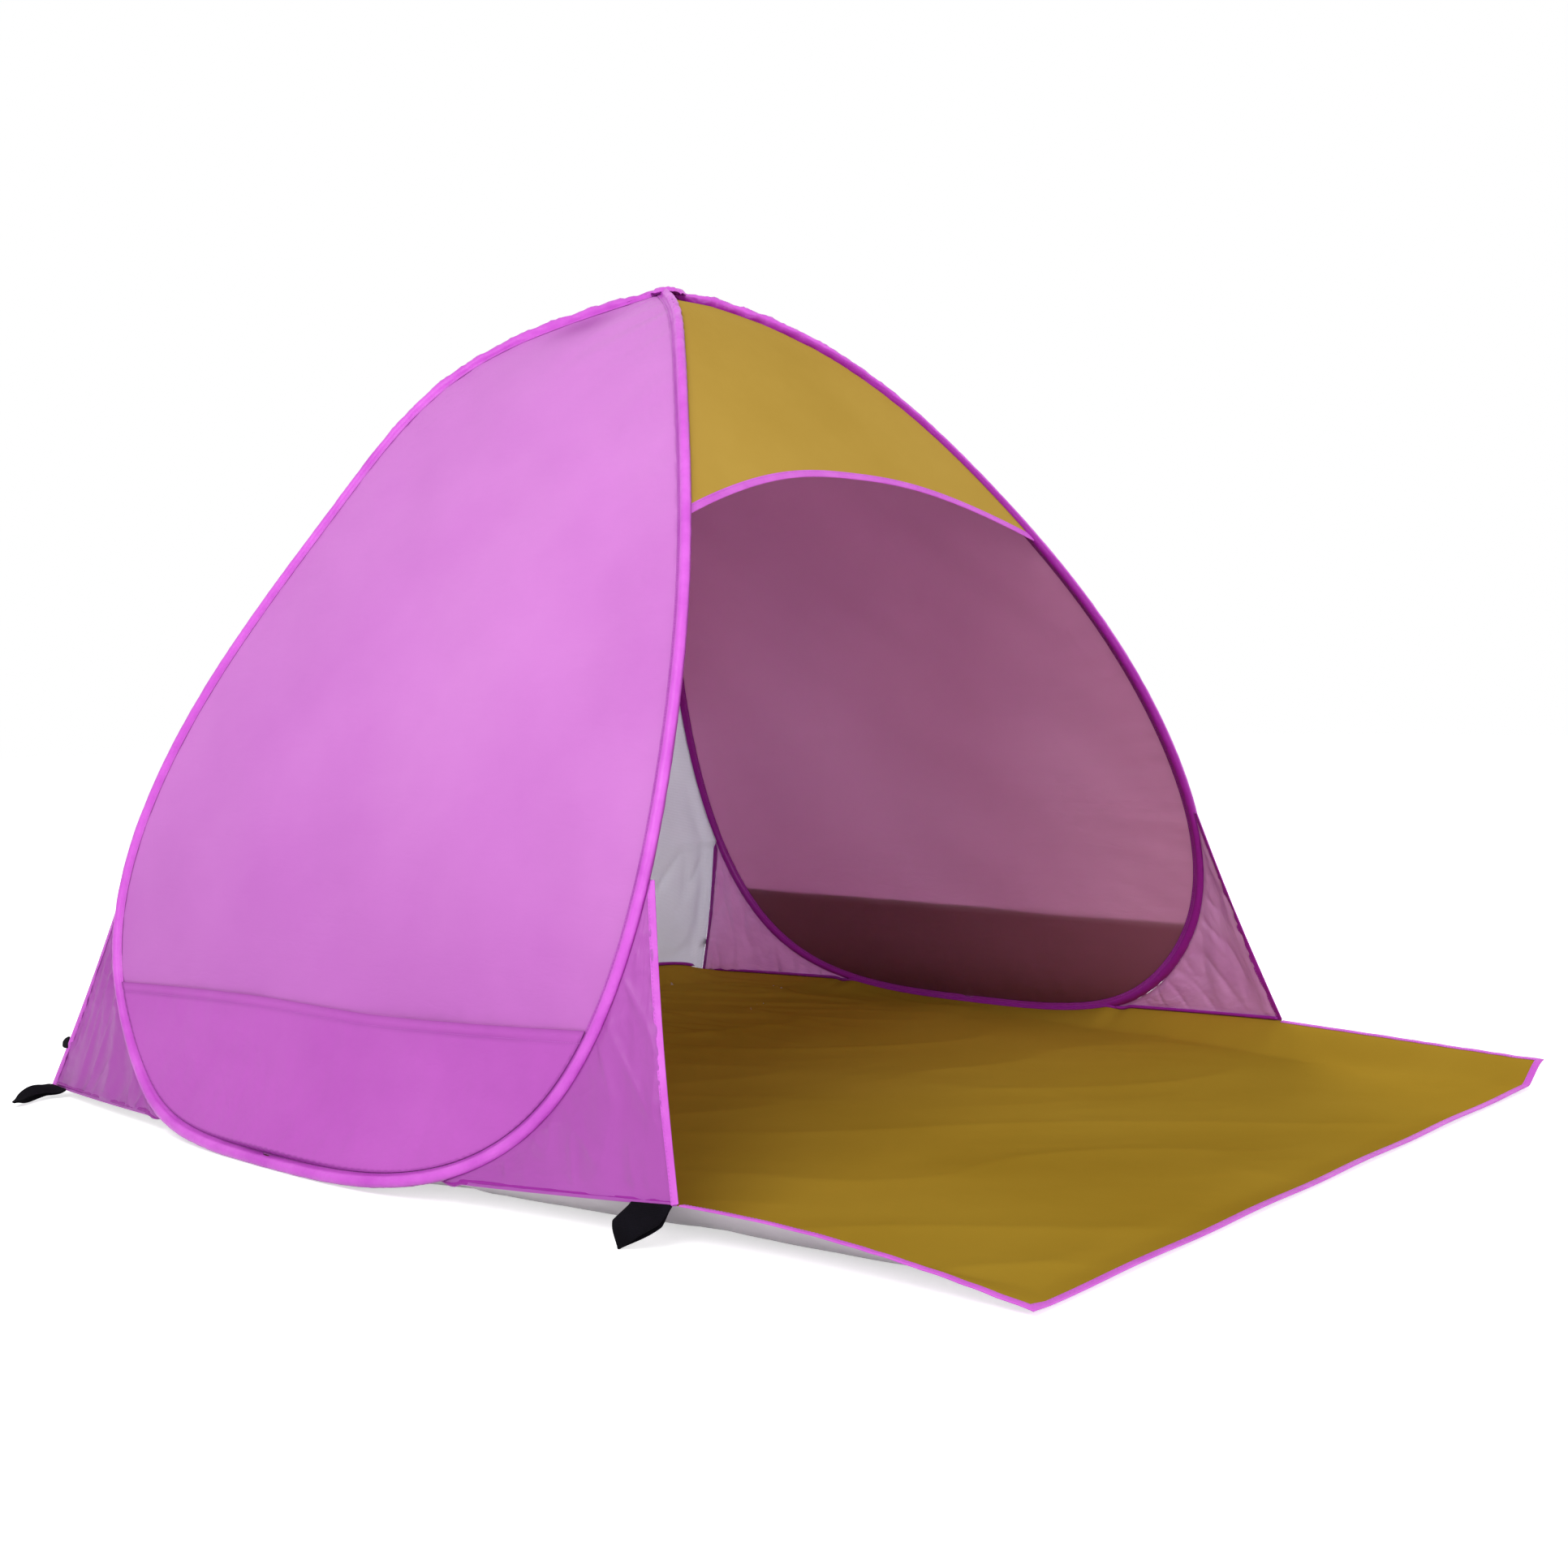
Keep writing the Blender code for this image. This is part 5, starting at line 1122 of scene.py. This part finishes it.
def front_upper_panel():
    grid, normals = front_grid()
    piece = cloth_sheet("front_upper_cloth", grid, [gold_cloth, shaded_gold_inside], np.array([0.0, -1.0, 0.3]))
    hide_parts("front_upper_panel")
    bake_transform(piece)
    rims = grid[-1]
    deeps = rims + square_to(grid[-12] - rims, unit(np.gradient(rims, axis=0))) * doorway_tape_depth
    tape = folded_tape("doorway_tape", rims, deeps, normals[-1])
    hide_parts("doorway_binding")
    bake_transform(tape)
    stitch_lines["doorway"] += tape_stitches(rims, deeps, normals[-1])


front_upper_panel()


# ------------------------------------------------------------------------------
# Rear upper panel and rear window
# The same gold polyester covers the upper rear between the hoops. Below its seam a window of fine light-grey
# net hangs down to the floor's rear edge, with the creases of its packing still in it.

window_top_height = 0.512
rear_gusset = gusset_grid(REAR)[0]

net_grey = cloth_finish("grey_window_net", (222, 222, 230), (206, 207, 216), 0.62, thread=0.0016, weave=0.5,
                        crinkle=0.35, sheen=0.1, shine=0.2)


def open_net(finish, pitch, open_share):
    """Let light and sight through the small holes between a net's threads."""
    node = node_maker(finish.node_tree)
    output = finish.node_tree.nodes["Material Output"]
    closed = output.inputs["Surface"].links[0].from_socket
    metres = node("ShaderNodeUVMap", uv_map="cloth").outputs["UV"]
    gaps = []
    for axis in ("X", "Y"):
        between = {0: bands(node, pitch, axis, metres), 1: 0.45}
        gaps.append(node("ShaderNodeMath", between, operation="GREATER_THAN").outputs[0])
    hole = node("ShaderNodeMath", enumerate(gaps), operation="MULTIPLY").outputs[0]
    part = node("ShaderNodeMath", {0: hole, 1: open_share}, operation="MULTIPLY").outputs[0]
    clear = node("ShaderNodeBsdfTransparent").outputs["BSDF"]
    mix = node("ShaderNodeMixShader", {"Fac": part, 1: closed, 2: clear})
    fill(output, {"Surface": mix.outputs["Shader"]})


let_light_through(net_grey, linear(222, 221, 230), 0.40)
open_net(net_grey, 0.0020, 0.25)


def between_grid(edge, columns):
    shares = np.linspace(-1.0, 1.0, columns)
    grid = np.repeat(edge[:, None, :], columns, axis=1)
    grid[:, :, 0] *= shares[None, :]
    return grid


def rear_upper_panel():
    runs = np.linspace(run_at_level(1.0735), run_at_level(window_top_height), 170)
    grid = between_grid(between_edge(runs, REAR), 151)
    normals = normals_towards(grid, (0.0, 1.0, 0.0))
    x, z = grid[..., 0], grid[..., 2]
    side_gap = np.abs(grid[:, -1:, 0]) - np.abs(x)
    pull = rumple(z / 0.022, side_gap / 0.09, 151) * np.exp(-side_gap / 0.04)
    wave = 0.0010 * pull * smooth_step(side_gap / 0.006)
    wave = wave + smooth_step(side_gap / 0.05) * 0.0020 * rumple(x / 0.22, z / 0.13, 153)
    wave = wave * smooth_step((z - window_top_height) / 0.04)
    grid = grid + normals * wave[..., None]
    piece = cloth_sheet("rear_upper_cloth", grid, [gold_cloth, shaded_gold_inside], np.array([0.0, 1.0, 0.3]))
    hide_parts("rear_upper_panel")
    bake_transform(piece)
    stitch_lines["window"].append(grid[-3] + normals[-3] * 0.0006)


def rear_window():
    runs = np.linspace(run_at_level(window_top_height), run_at_level(gusset_top_height[REAR]), 80)
    edge = between_edge(runs, REAR)
    turn = int(gusset_turn_share[REAR] * (rear_gusset.shape[0] - 1))
    beside = rear_gusset[4:turn + 1, -1].copy()
    beside[:, 0] -= 0.0016
    edge = np.concatenate([edge, beside])
    lengths = chord_lengths(edge)
    even = np.linspace(0.0, lengths[-1], 150)
    edge = np.stack([np.interp(even, lengths, edge[:, axis]) for axis in range(3)], axis=1)
    grid = between_grid(edge, 171)
    weights = np.exp(-np.linspace(-2.0, 2.0, 41) ** 2)
    padded = np.concatenate([2.0 * edge[0] - edge[20:0:-1], edge, 2.0 * edge[-1] - edge[-2:-22:-1]])
    weights = weights / weights.sum()
    eased = np.stack([np.convolve(padded[:, axis], weights, "valid") for axis in range(3)], axis=1)
    free = 1.0 - (np.abs(np.linspace(-1.0, 1.0, 171)) ** 14)[None, :]
    for axis in (1, 2):
        grid[:, :, axis] += (eased[:, axis] - edge[:, axis])[:, None] * free
    normals = normals_towards(grid, (0.0, 1.0, 0.0))
    x, z = grid[..., 0], grid[..., 2]
    side_gap = np.abs(grid[:, -1:, 0]) - np.abs(x)
    ends = smooth_step(side_gap / 0.05) * smooth_step((window_top_height - z) / 0.06)
    ends = ends * smooth_step((z - 0.012) / 0.05)
    folded = 0.010 * (creases(x / 0.10 + z / 0.6, z / 0.45, 161) - 0.3)
    low = smooth_step((0.30 - z) / 0.12)
    folded = folded + 0.007 * (creases(x / 0.055 - z / 0.35, z / 0.20, 163) - 0.3) * low
    folded = folded + 0.008 * rumple(x / 0.20, z / 0.30, 165)
    pull = 0.0016 * rumple(z / 0.03, side_gap / 0.10, 167) * np.exp(-side_gap / 0.05)
    pull = pull * smooth_step(side_gap / 0.008)
    grid = grid + normals * ((folded * ends + pull) * 0.8)[..., None]
    edge_z = floor_level(grid[-1, :, 0], np.full(grid.shape[1], rear_corner_reach)) + 0.0012
    grid[..., 2] += (edge_z - grid[-1, :, 2])[None, :] * smooth_step((0.15 - z) / 0.15)
    piece = cloth_sheet("rear_window_net", grid, [net_grey], np.array([0.0, 1.0, 0.2]), thickness=0.0004)
    seam = grid[-1, 3:-3] + np.array([0.0, -0.0030, 0.0024])
    sew_on(piece, bound_seam("window_seam", seam, radius=0.0029))
    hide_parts("rear_window_mesh")
    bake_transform(piece)


rear_upper_panel()
rear_window()


# ------------------------------------------------------------------------------
# Rolled window flap and its ties
# A pink flap that can close the window is rolled up outwards from its foot and hangs under the seam. Two
# straps of black webbing, sewn over the seam, go round the roll and hold it.

roll_radius, roll_pitch, roll_drop, roll_turns = 0.017, 0.0042, 0.007, 1.75
flap_hem, flap_end_setback = 0.014, 0.022
tie_width, tie_end_setback, tie_hem = 0.020, 0.060, 0.024
cad_cloth = 0.0012
seam_runs = [run_at_level(window_top_height + step) for step in (0.002, -0.002)]
seam_edge = between_edge(np.array(seam_runs), REAR)
seam_middle = seam_edge.mean(axis=0)
seam_down = unit(seam_edge[1, 1:] - seam_edge[0, 1:])
seam_out = np.array([-seam_down[1], seam_down[0]])
roll_middle = seam_middle[1:] + seam_down * roll_drop + seam_out * (roll_radius + cad_cloth + 0.0003)

flap_pink = cloth_finish("flap_pink_polyester", (206, 104, 212), (188, 84, 196), 0.45, crinkle=0.5,
                         crinkle_width=0.02, patch=6.0, sheen=0.25, stretch=(1.0, 2.0))


def around_roll(radius, turn):
    """A point about the roll's axis; a turn of 0 is outward and a quarter is down."""
    angle = 2.0 * math.pi * turn
    return roll_middle + radius * (math.cos(angle) * seam_out + math.sin(angle) * seam_down)


def ribbon_grid(line, places):
    """A grid over a line in the YZ plane, from one place along X to the next."""
    return np.array([[(x, y, z) for x in places] for y, z in line])


def rear_window_flap():
    foot = around_roll(roll_radius, 0.5)
    line = [foot - seam_down * (roll_drop + flap_hem) * (1.0 - s) for s in np.linspace(0.0, 1.0, 10)[:-1]]
    line += [around_roll(roll_radius - roll_pitch * t, 0.5 - t) for t in np.linspace(0.0, roll_turns, 76)]
    reach = seam_middle[0] - flap_end_setback
    places = np.linspace(-reach, reach, 181)
    grid = ribbon_grid(line, places)
    turned = np.concatenate([np.zeros(9), np.linspace(0.0, roll_turns, 76)])[:, None]
    centre = np.array([0.0, *roll_middle])
    spokes = grid - centre
    spokes[..., 0] = 0.0
    spokes = unit(spokes)
    tie_places = np.array([-1.0, 1.0]) * (seam_middle[0] - tie_end_setback)
    cinch = sum(bell((grid[..., 0] - place) / 0.022) for place in tie_places)
    sag = rumple(grid[..., 0] / 0.075 + turned * 0.4, turned * 1.2, 181)
    twist = rumple(grid[..., 0] / 0.020 + turned * 0.8, turned * 2.0, 183)
    wave = (0.0011 * sag + 0.0004 * twist) * smooth_step(turned / 0.15)
    wave = wave - 0.0012 * cinch * smooth_step(turned / 0.1)
    droop = -0.004 * np.cos(grid[..., 0] / reach * math.pi / 2.0) * smooth_step(turned / 0.2)
    grid = grid + spokes * wave[..., None]
    grid[..., 2] += droop
    piece = cloth_sheet("rolled_window_flap", grid, [flap_pink], np.array([0.0, 1.0, 0.0]), thickness=0.0007)
    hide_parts("rear_window_flap")
    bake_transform(piece)
    return piece


black_webbing = cloth_finish("black_webbing", (15, 13, 20), (9, 7, 12), 0.8, thread=0.0017, weave=0.9,
                             crinkle=0.1, crinkle_width=0.02, patch=30.0, shine=0.06)


def flap_tie(side):
    top = around_roll(roll_radius, 0.5)
    shares = np.linspace(0.0, 1.0, 10)[:8]
    line = [top - seam_down * (roll_drop + tie_hem) * (1.0 - s) + seam_out * 0.0014 for s in shares]
    turns = np.linspace(10.0 / 12.0, 2.0 / 12.0, 44)
    line += [around_roll(roll_radius - roll_pitch * t + cad_cloth + 0.0003, 0.5 - t) for t in turns]
    middle = side * (seam_middle[0] - tie_end_setback)
    grid = ribbon_grid(line, np.linspace(middle - tie_width / 2.0, middle + tie_width / 2.0, 15))
    grid[..., 2] -= 0.004 * math.cos(middle / (seam_middle[0] - flap_end_setback) * math.pi / 2.0)
    piece = cloth_sheet(SIDES[side] + "_flap_strap", grid, [black_webbing], np.array([0.0, 1.0, 0.0]),
                        thickness=0.0011)
    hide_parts(SIDES[side] + "_flap_tie")
    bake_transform(piece)


window_flap = rear_window_flap()
for side in SIDES:
    flap_tie(side)


# ------------------------------------------------------------------------------
# Apex cap
# Where the two hoops meet, their sleeves are gathered under a small patch of the same glossy ribbon. It is
# sewn down over both tips and puffs up on each side of the crease between them.

cap_half_length, cap_half_width, cap_cloth = 0.030, 0.020, 0.0012


def apex_cap():
    rings, spokes = 22, 72
    angles = np.linspace(0.0, 2.0 * math.pi, spokes, endpoint=False)
    shells = []
    for lower in (0.0, cap_cloth):
        points = []
        for k in range(rings + 1):
            share = k / rings
            x = cap_half_length * share * np.cos(angles)
            y = cap_half_width * share * np.sin(angles)
            gap = np.hypot(x, y)
            fall = 0.27 * (gap - 0.0115).clip(0.0)
            crease = 0.0030 * bell((x + 0.15 * y) / 0.0028)
            puff = 0.0012 * bell((np.abs(x) - 0.0125) / 0.0065) * bell(y / 0.012)
            pleats = 0.0013 * rumple(angles / 0.38, gap / 0.02, 201) * smooth_step(share / 0.4)
            tuck = 0.0045 * smooth_step((share - 0.72) / 0.28)
            z = tent_height - cap_cloth - fall - crease + puff + pleats - tuck - lower
            wave = 1.0 + 0.05 * rumple(angles / 0.5, 0.4, 203) * share
            points.append(np.stack([x * wave, y * wave, np.minimum(z, tent_height + 0.001)], axis=1))
        shells.append(np.array(points))
    size = (rings + 1) * spokes
    points = np.concatenate([shell.reshape(-1, 3) for shell in shells])
    faces = []
    for k in range(rings):
        for m in range(spokes):
            n = (m + 1) % spokes
            quad = (k * spokes + m, (k + 1) * spokes + m, (k + 1) * spokes + n, k * spokes + n)
            faces.append(quad)
            faces.append(tuple(size + v for v in quad[::-1]))
    edge = rings * spokes
    for m in range(spokes):
        n = (m + 1) % spokes
        faces.append((edge + n, edge + m, size + edge + m, size + edge + n))
    piece = add_piece("apex_gather", points, faces, [pink_ribbon], uvs=points[:, :2])
    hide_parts("apex_cap")
    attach(piece, "left_side")


apex_cap()


# ------------------------------------------------------------------------------
# Peg loops and seam tabs
# A loop of black webbing hangs at each corner of the floor to take a peg, and swings on its seam. A short
# folded tab of the same webbing is caught in each rear seam.

loop_half = 0.0011
loop_wall, loop_nose, loop_puff = 0.0009, 0.0008, 0.0040
front_root_spread, rear_twist, rear_lift = 1.28, 0.55, 0.003
loop_drift = {FRONT: 0.026, REAR: -0.030}
loop_width = 0.038
loop_length = {FRONT: 0.046, REAR: 0.074}
loop_corner_setback = 0.030
loop_tip_level = {FRONT: 0.002, REAR: 0.006}


def floor_rim(y):
    x = floor_half_width(y)
    return np.array([float(x), float(y), float(floor_level(x, y, folds=False)) + 0.0006])


def loop_seat(end):
    """Pivot of a right peg loop, its hinge line, the way out, the way up, and how far it falls."""
    joint = next(j for j in frame["joints"] if j["name"] == ENDS[end] + "_right_loop_swing")
    pivot = np.array(joint["pos_m"])
    y = end * (corner_reach[end] - loop_corner_setback)
    hinge = unit(floor_rim(y + loop_width / 2.0) - floor_rim(y - loop_width / 2.0))
    out = unit(np.cross(hinge, [0.0, 0.0, 1.0]))
    fall = math.asin((pivot[2] - loop_half - loop_tip_level[end]) / loop_length[end])
    return pivot, hinge, out, np.cross(out, hinge), fall


def peg_loop(side, end):
    pivot, hinge, out, up, fall = loop_seat(end)
    length = loop_length[end]
    along = np.linspace(0.0, 1.0, 40)
    places = length * along
    opening = loop_puff * np.sin(math.pi * along ** 1.4) ** 2
    line = [(p, loop_half - loop_wall / 2.0 + o) for p, o in zip(places, opening)]
    nose_turns = np.linspace(math.pi / 2.0, -math.pi / 2.0, 9)[1:-1]
    line += [(length + loop_nose * math.cos(a), loop_nose * math.sin(a)) for a in nose_turns]
    line += [(p, -(loop_half - loop_wall / 2.0) - o) for p, o in zip(places[::-1], opening[::-1])]
    line = np.array(line)
    shares = np.linspace(-1.0, 1.0, 17)
    grid = []
    for place, thick in line:
        s = place / length
        if end == FRONT:
            half = loop_width / 2.0 * (front_root_spread + 0.12 * float(smooth_step(s / 0.4)))
            half *= 1.0 - 0.94 * (max(0.0, s - 0.45) / 0.55) ** 1.1
            twist, drift, lift = 0.10 * s, loop_drift[end] * s, 0.0
        else:
            half = 1.0 - 0.50 * float(smooth_step(s / 0.35)) - 0.30 * float(smooth_step((s - 0.8) / 0.2))
            half *= loop_width / 2.0
            twist, drift = rear_twist * math.sin(math.pi * s ** 0.9), loop_drift[end] * s * s
            lift = rear_lift * math.sin(math.pi * s) ** 2
        row = []
        for share in shares:
            w = half * share
            a = w * math.cos(twist) - thick * math.sin(twist) + drift
            b = w * math.sin(twist) + thick * math.cos(twist) + lift
            outward = place * math.cos(fall) + b * math.sin(fall)
            upward = b * math.cos(fall) - place * math.sin(fall)
            row.append(pivot - out * loop_half + hinge * a + out * outward + up * upward)
        grid.append(row)
    grid = np.array(grid)
    grid[..., 2] = np.maximum(grid[..., 2], 0.0009)
    name = ENDS[end] + "_" + SIDES[side]
    piece = cloth_sheet(name + "_peg_strap", on_side(grid, side), [black_webbing], on_side(up, side),
                        thickness=loop_wall)
    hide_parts(name + "_peg_loop")
    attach(piece, name + "_loop")


for side in SIDES:
    for end in ENDS:
        peg_loop(side, end)


tab_wall, tab_reach, tab_half_width = 0.0009, 0.0165, 0.008
tab_place = 0.755  # share of the way down the rear seam


def seam_tab(side):
    turn = int(gusset_turn_share[REAR] * (rear_gusset.shape[0] - 1))
    row = int(round(turn * tab_place))
    place, inner = rear_gusset[row, -1], rear_gusset[row, -8]
    out = unit(place - inner)
    below = unit(rear_gusset[row + 4, -1] - place)
    below = unit(below - (below @ out) * out)
    normal = np.cross(out, below)
    start = place + out * 0.0015
    grid = []
    layers = [(tab_reach * s, 0.00075) for s in np.linspace(0.0, 1.0, 16)] + [(0.0172, 0.0)]
    layers += [(tab_reach * s, -0.00075) for s in np.linspace(1.0, 0.0, 16)]
    for reach, thick in layers:
        half = tab_half_width * math.sqrt(max(0.03, 1.0 - (reach / 0.0176) ** 2))
        shares = np.linspace(-1.0, 1.0, 13)
        grid.append([start + out * reach + below * half * s + normal * thick for s in shares])
    name = SIDES[side] + "_webbing_tab"
    piece = cloth_sheet(name, on_side(grid, side), [black_webbing], on_side(normal, side), thickness=tab_wall)
    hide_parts(SIDES[side] + "_seam_tab")
    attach(piece, SIDES[side] + "_side")


for side in SIDES:
    seam_tab(side)


# ------------------------------------------------------------------------------
# Stitching
# Every seam is sewn with pink polyester thread in lockstitch, about six stitches to the inch. Each stitch
# is laid along its seam line by the same small tree, and follows the cloth that it holds.

thread_finish, node, thread_shader = new_finish("pink_thread")
thread_place = node("ShaderNodeTexCoord").outputs["Object"]
fibre = node("ShaderNodeTexNoise", {"Scale": 2500.0, "Vector": thread_place}).outputs["Fac"]
thread_dull = node("ShaderNodeMapRange", {"To Min": 0.38, "To Max": 0.62, "Value": fibre}).outputs["Result"]
fill(thread_shader, {"Base Color": linear(196, 82, 202), "Sheen Weight": 0.3, "Roughness": thread_dull})


def stitching_tree():
    """A tree that lays one short thread after another along the seam lines it is given."""
    tree = bpy.data.node_groups.new("lockstitch", "GeometryNodeTree")
    face = tree.interface
    face.new_socket("Geometry", in_out="INPUT", socket_type="NodeSocketGeometry")
    for label, value in (("Stitch Pitch", 0.0040), ("Stitch Length", 0.0030), ("Thread Width", 0.0006)):
        face.new_socket(label, in_out="INPUT", socket_type="NodeSocketFloat").default_value = value
    face.new_socket("Thread", in_out="INPUT", socket_type="NodeSocketMaterial")
    face.new_socket("Geometry", in_out="OUTPUT", socket_type="NodeSocketGeometry")
    node = node_maker(tree)
    given = node("NodeGroupInput").outputs
    curve = node("GeometryNodeMeshToCurve", {"Mesh": given["Geometry"]}).outputs["Curve"]
    places = node("GeometryNodeCurveToPoints", {"Curve": curve, "Length": given["Stitch Pitch"]}, mode="LENGTH")
    turn = node("FunctionNodeAlignRotationToVector", {"Vector": places.outputs["Tangent"]}, axis="X")
    thread = node("GeometryNodeMeshUVSphere", {"Segments": 5, "Rings": 4, "Radius": 0.5}).outputs["Mesh"]
    width = given["Thread Width"]
    size = node("ShaderNodeCombineXYZ", {"X": given["Stitch Length"], "Y": width, "Z": width}).outputs["Vector"]
    shape = node("GeometryNodeTransform", {"Geometry": thread, "Scale": size}).outputs["Geometry"]
    laid = node("GeometryNodeInstanceOnPoints", {"Points": places.outputs["Points"], "Instance": shape,
                                                 "Rotation": turn.outputs["Rotation"]})
    real = node("GeometryNodeRealizeInstances", {"Geometry": laid.outputs["Instances"]}).outputs["Geometry"]
    dyed = node("GeometryNodeSetMaterial", {"Geometry": real, "Material": given["Thread"]})
    node("NodeGroupOutput", {"Geometry": dyed.outputs["Geometry"]})
    return tree


lockstitch = stitching_tree()


def stitching(name, lines):
    """One mesh of stitches over a list of seam lines."""
    points = np.concatenate(lines)
    edges, start = [], 0
    for line in lines:
        edges += [(start + i, start + i + 1) for i in range(len(line) - 1)]
        start += len(line)
    guide = bpy.data.meshes.new(name)
    guide.from_pydata(points.tolist(), edges, [])
    seams = in_scene(name + "_seams", guide)
    modifier = seams.modifiers.new("lockstitch", "NODES")
    modifier.node_group = lockstitch
    for item in lockstitch.interface.items_tree:
        if item.item_type == "SOCKET" and item.in_out == "INPUT" and item.name == "Thread":
            modifier[item.identifier] = thread_finish
    bpy.context.view_layer.update()
    graph = bpy.context.evaluated_depsgraph_get()
    mesh = bpy.data.meshes.new_from_object(seams.evaluated_get(graph), depsgraph=graph)
    mesh.name = name
    mesh.shade_smooth()
    bpy.data.objects.remove(seams, do_unlink=True)
    return in_scene(name, mesh)


for side_name in SIDES.values():
    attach(stitching(side_name + "_stitching", stitch_lines[side_name + "_side"]), side_name + "_side")
apron_stitching = stitching("apron_stitching", stitch_lines["apron"])
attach(apron_stitching, "left_side")
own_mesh(apron_stitching)
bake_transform(stitching("doorway_stitching", stitch_lines["doorway"]))
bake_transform(stitching("window_stitching", stitch_lines["window"]))


# ------------------------------------------------------------------------------
# Studio
# The tent stands on a seamless pale floor under large soft lamps, and the camera looks at it from the front
# left, a little below the height of its doorway.

camera_place = Vector((-1.8979, -1.8919, 0.5477))
picture_pixels, lens_pixels, sensor_width = 1932.0, 2335.0, 36.0
yaw, pitch, roll = 0.84261, -0.05349, -0.01641
looking = Vector((math.sin(yaw) * math.cos(pitch), math.cos(yaw) * math.cos(pitch), math.sin(pitch)))
level_right = Vector((math.cos(yaw), -math.sin(yaw), 0.0))
level_up = level_right.cross(looking)
right = math.cos(roll) * level_right + math.sin(roll) * level_up
upwards = math.cos(roll) * level_up - math.sin(roll) * level_right
camera_data = bpy.data.cameras.new("studio_camera")
camera_data.sensor_width = sensor_width
camera_data.lens = lens_pixels / picture_pixels * sensor_width
camera = in_scene("studio_camera", camera_data)
turned = Matrix((right, upwards, -looking)).transposed().to_4x4()
turned.translation = camera_place
camera.matrix_world = turned
bpy.context.scene.camera = camera


def seen_rays(node):
    """1 for the rays that show what they meet: those of the camera, of mirrors and of clear things."""
    rays = node("ShaderNodeLightPath").outputs
    seen = rays["Is Camera Ray"]
    for ray in ("Is Glossy Ray", "Is Transmission Ray"):
        seen = node("ShaderNodeMath", {0: seen, 1: rays[ray]}, operation="MAXIMUM").outputs[0]
    return seen


floor_reach = 14.0
floor_mesh = bpy.data.meshes.new("studio_floor")
floor_corners = [(x * floor_reach, y * floor_reach, 0.0) for x, y in ((-1, -1), (1, -1), (1, 1), (-1, 1))]
floor_mesh.from_pydata(floor_corners, [], [(0, 1, 2, 3)])
studio_floor = in_scene("studio_floor", floor_mesh)
pale_floor, node, floor_shader = new_finish("pale_studio_floor")
fill(floor_shader, {"Base Color": (0.90, 0.90, 0.90), "Roughness": 0.9, "Specular IOR Level": 0.0})
matt = floor_shader.outputs["BSDF"]
glow = node("ShaderNodeEmission", {"Strength": 0.58}).outputs["Emission"]
bright = node("ShaderNodeAddShader", {0: matt, 1: glow}).outputs["Shader"]
shown = node("ShaderNodeMixShader", {"Fac": seen_rays(node), 1: matt, 2: bright}).outputs["Shader"]
fill(pale_floor.node_tree.nodes["Material Output"], {"Surface": shown})
floor_mesh.materials.append(pale_floor)

world = bpy.data.worlds.new("studio_air")
bpy.context.scene.world = world
world.use_nodes = True
node = node_maker(world.node_tree)
backdrop = world.node_tree.nodes["Background"]
fill(backdrop, {"Color": (1.0, 1.0, 1.0), "Strength": 1.0})
soft_air = node("ShaderNodeBackground", {"Color": (0.97, 0.98, 1.0), "Strength": 0.52}).outputs["Background"]
shown = node("ShaderNodeMixShader", {"Fac": seen_rays(node), 1: soft_air, 2: backdrop.outputs["Background"]})
fill(world.node_tree.nodes["World Output"], {"Surface": shown.outputs["Shader"]})


def softbox(name, place, aim, size, watts, mirrored=True):
    """A large square lamp at a place, turned to a point on the tent; a lamp need not show in shiny cloth."""
    data = bpy.data.lights.new(name, "AREA")
    data.shape = "SQUARE"
    data.size = size
    data.energy = watts
    lamp = in_scene(name, data)
    lamp.location = place
    lamp.rotation_euler = (Vector(aim) - Vector(place)).to_track_quat("-Z", "Y").to_euler()
    lamp.visible_glossy = mirrored


softbox("key_softbox", (-3.0, -1.1, 3.5), (0.0, 0.0, 0.6), 2.2, 95.0)
softbox("front_softbox", (-1.2, -4.0, 1.5), (0.3, 0.0, 0.45), 1.8, 45.0)
softbox("rear_softbox", (2.2, 1.9, 1.9), (0.3, 0.0, 0.5), 1.6, 84.0, mirrored=False)

bpy.context.scene.view_settings.view_transform = "Standard"
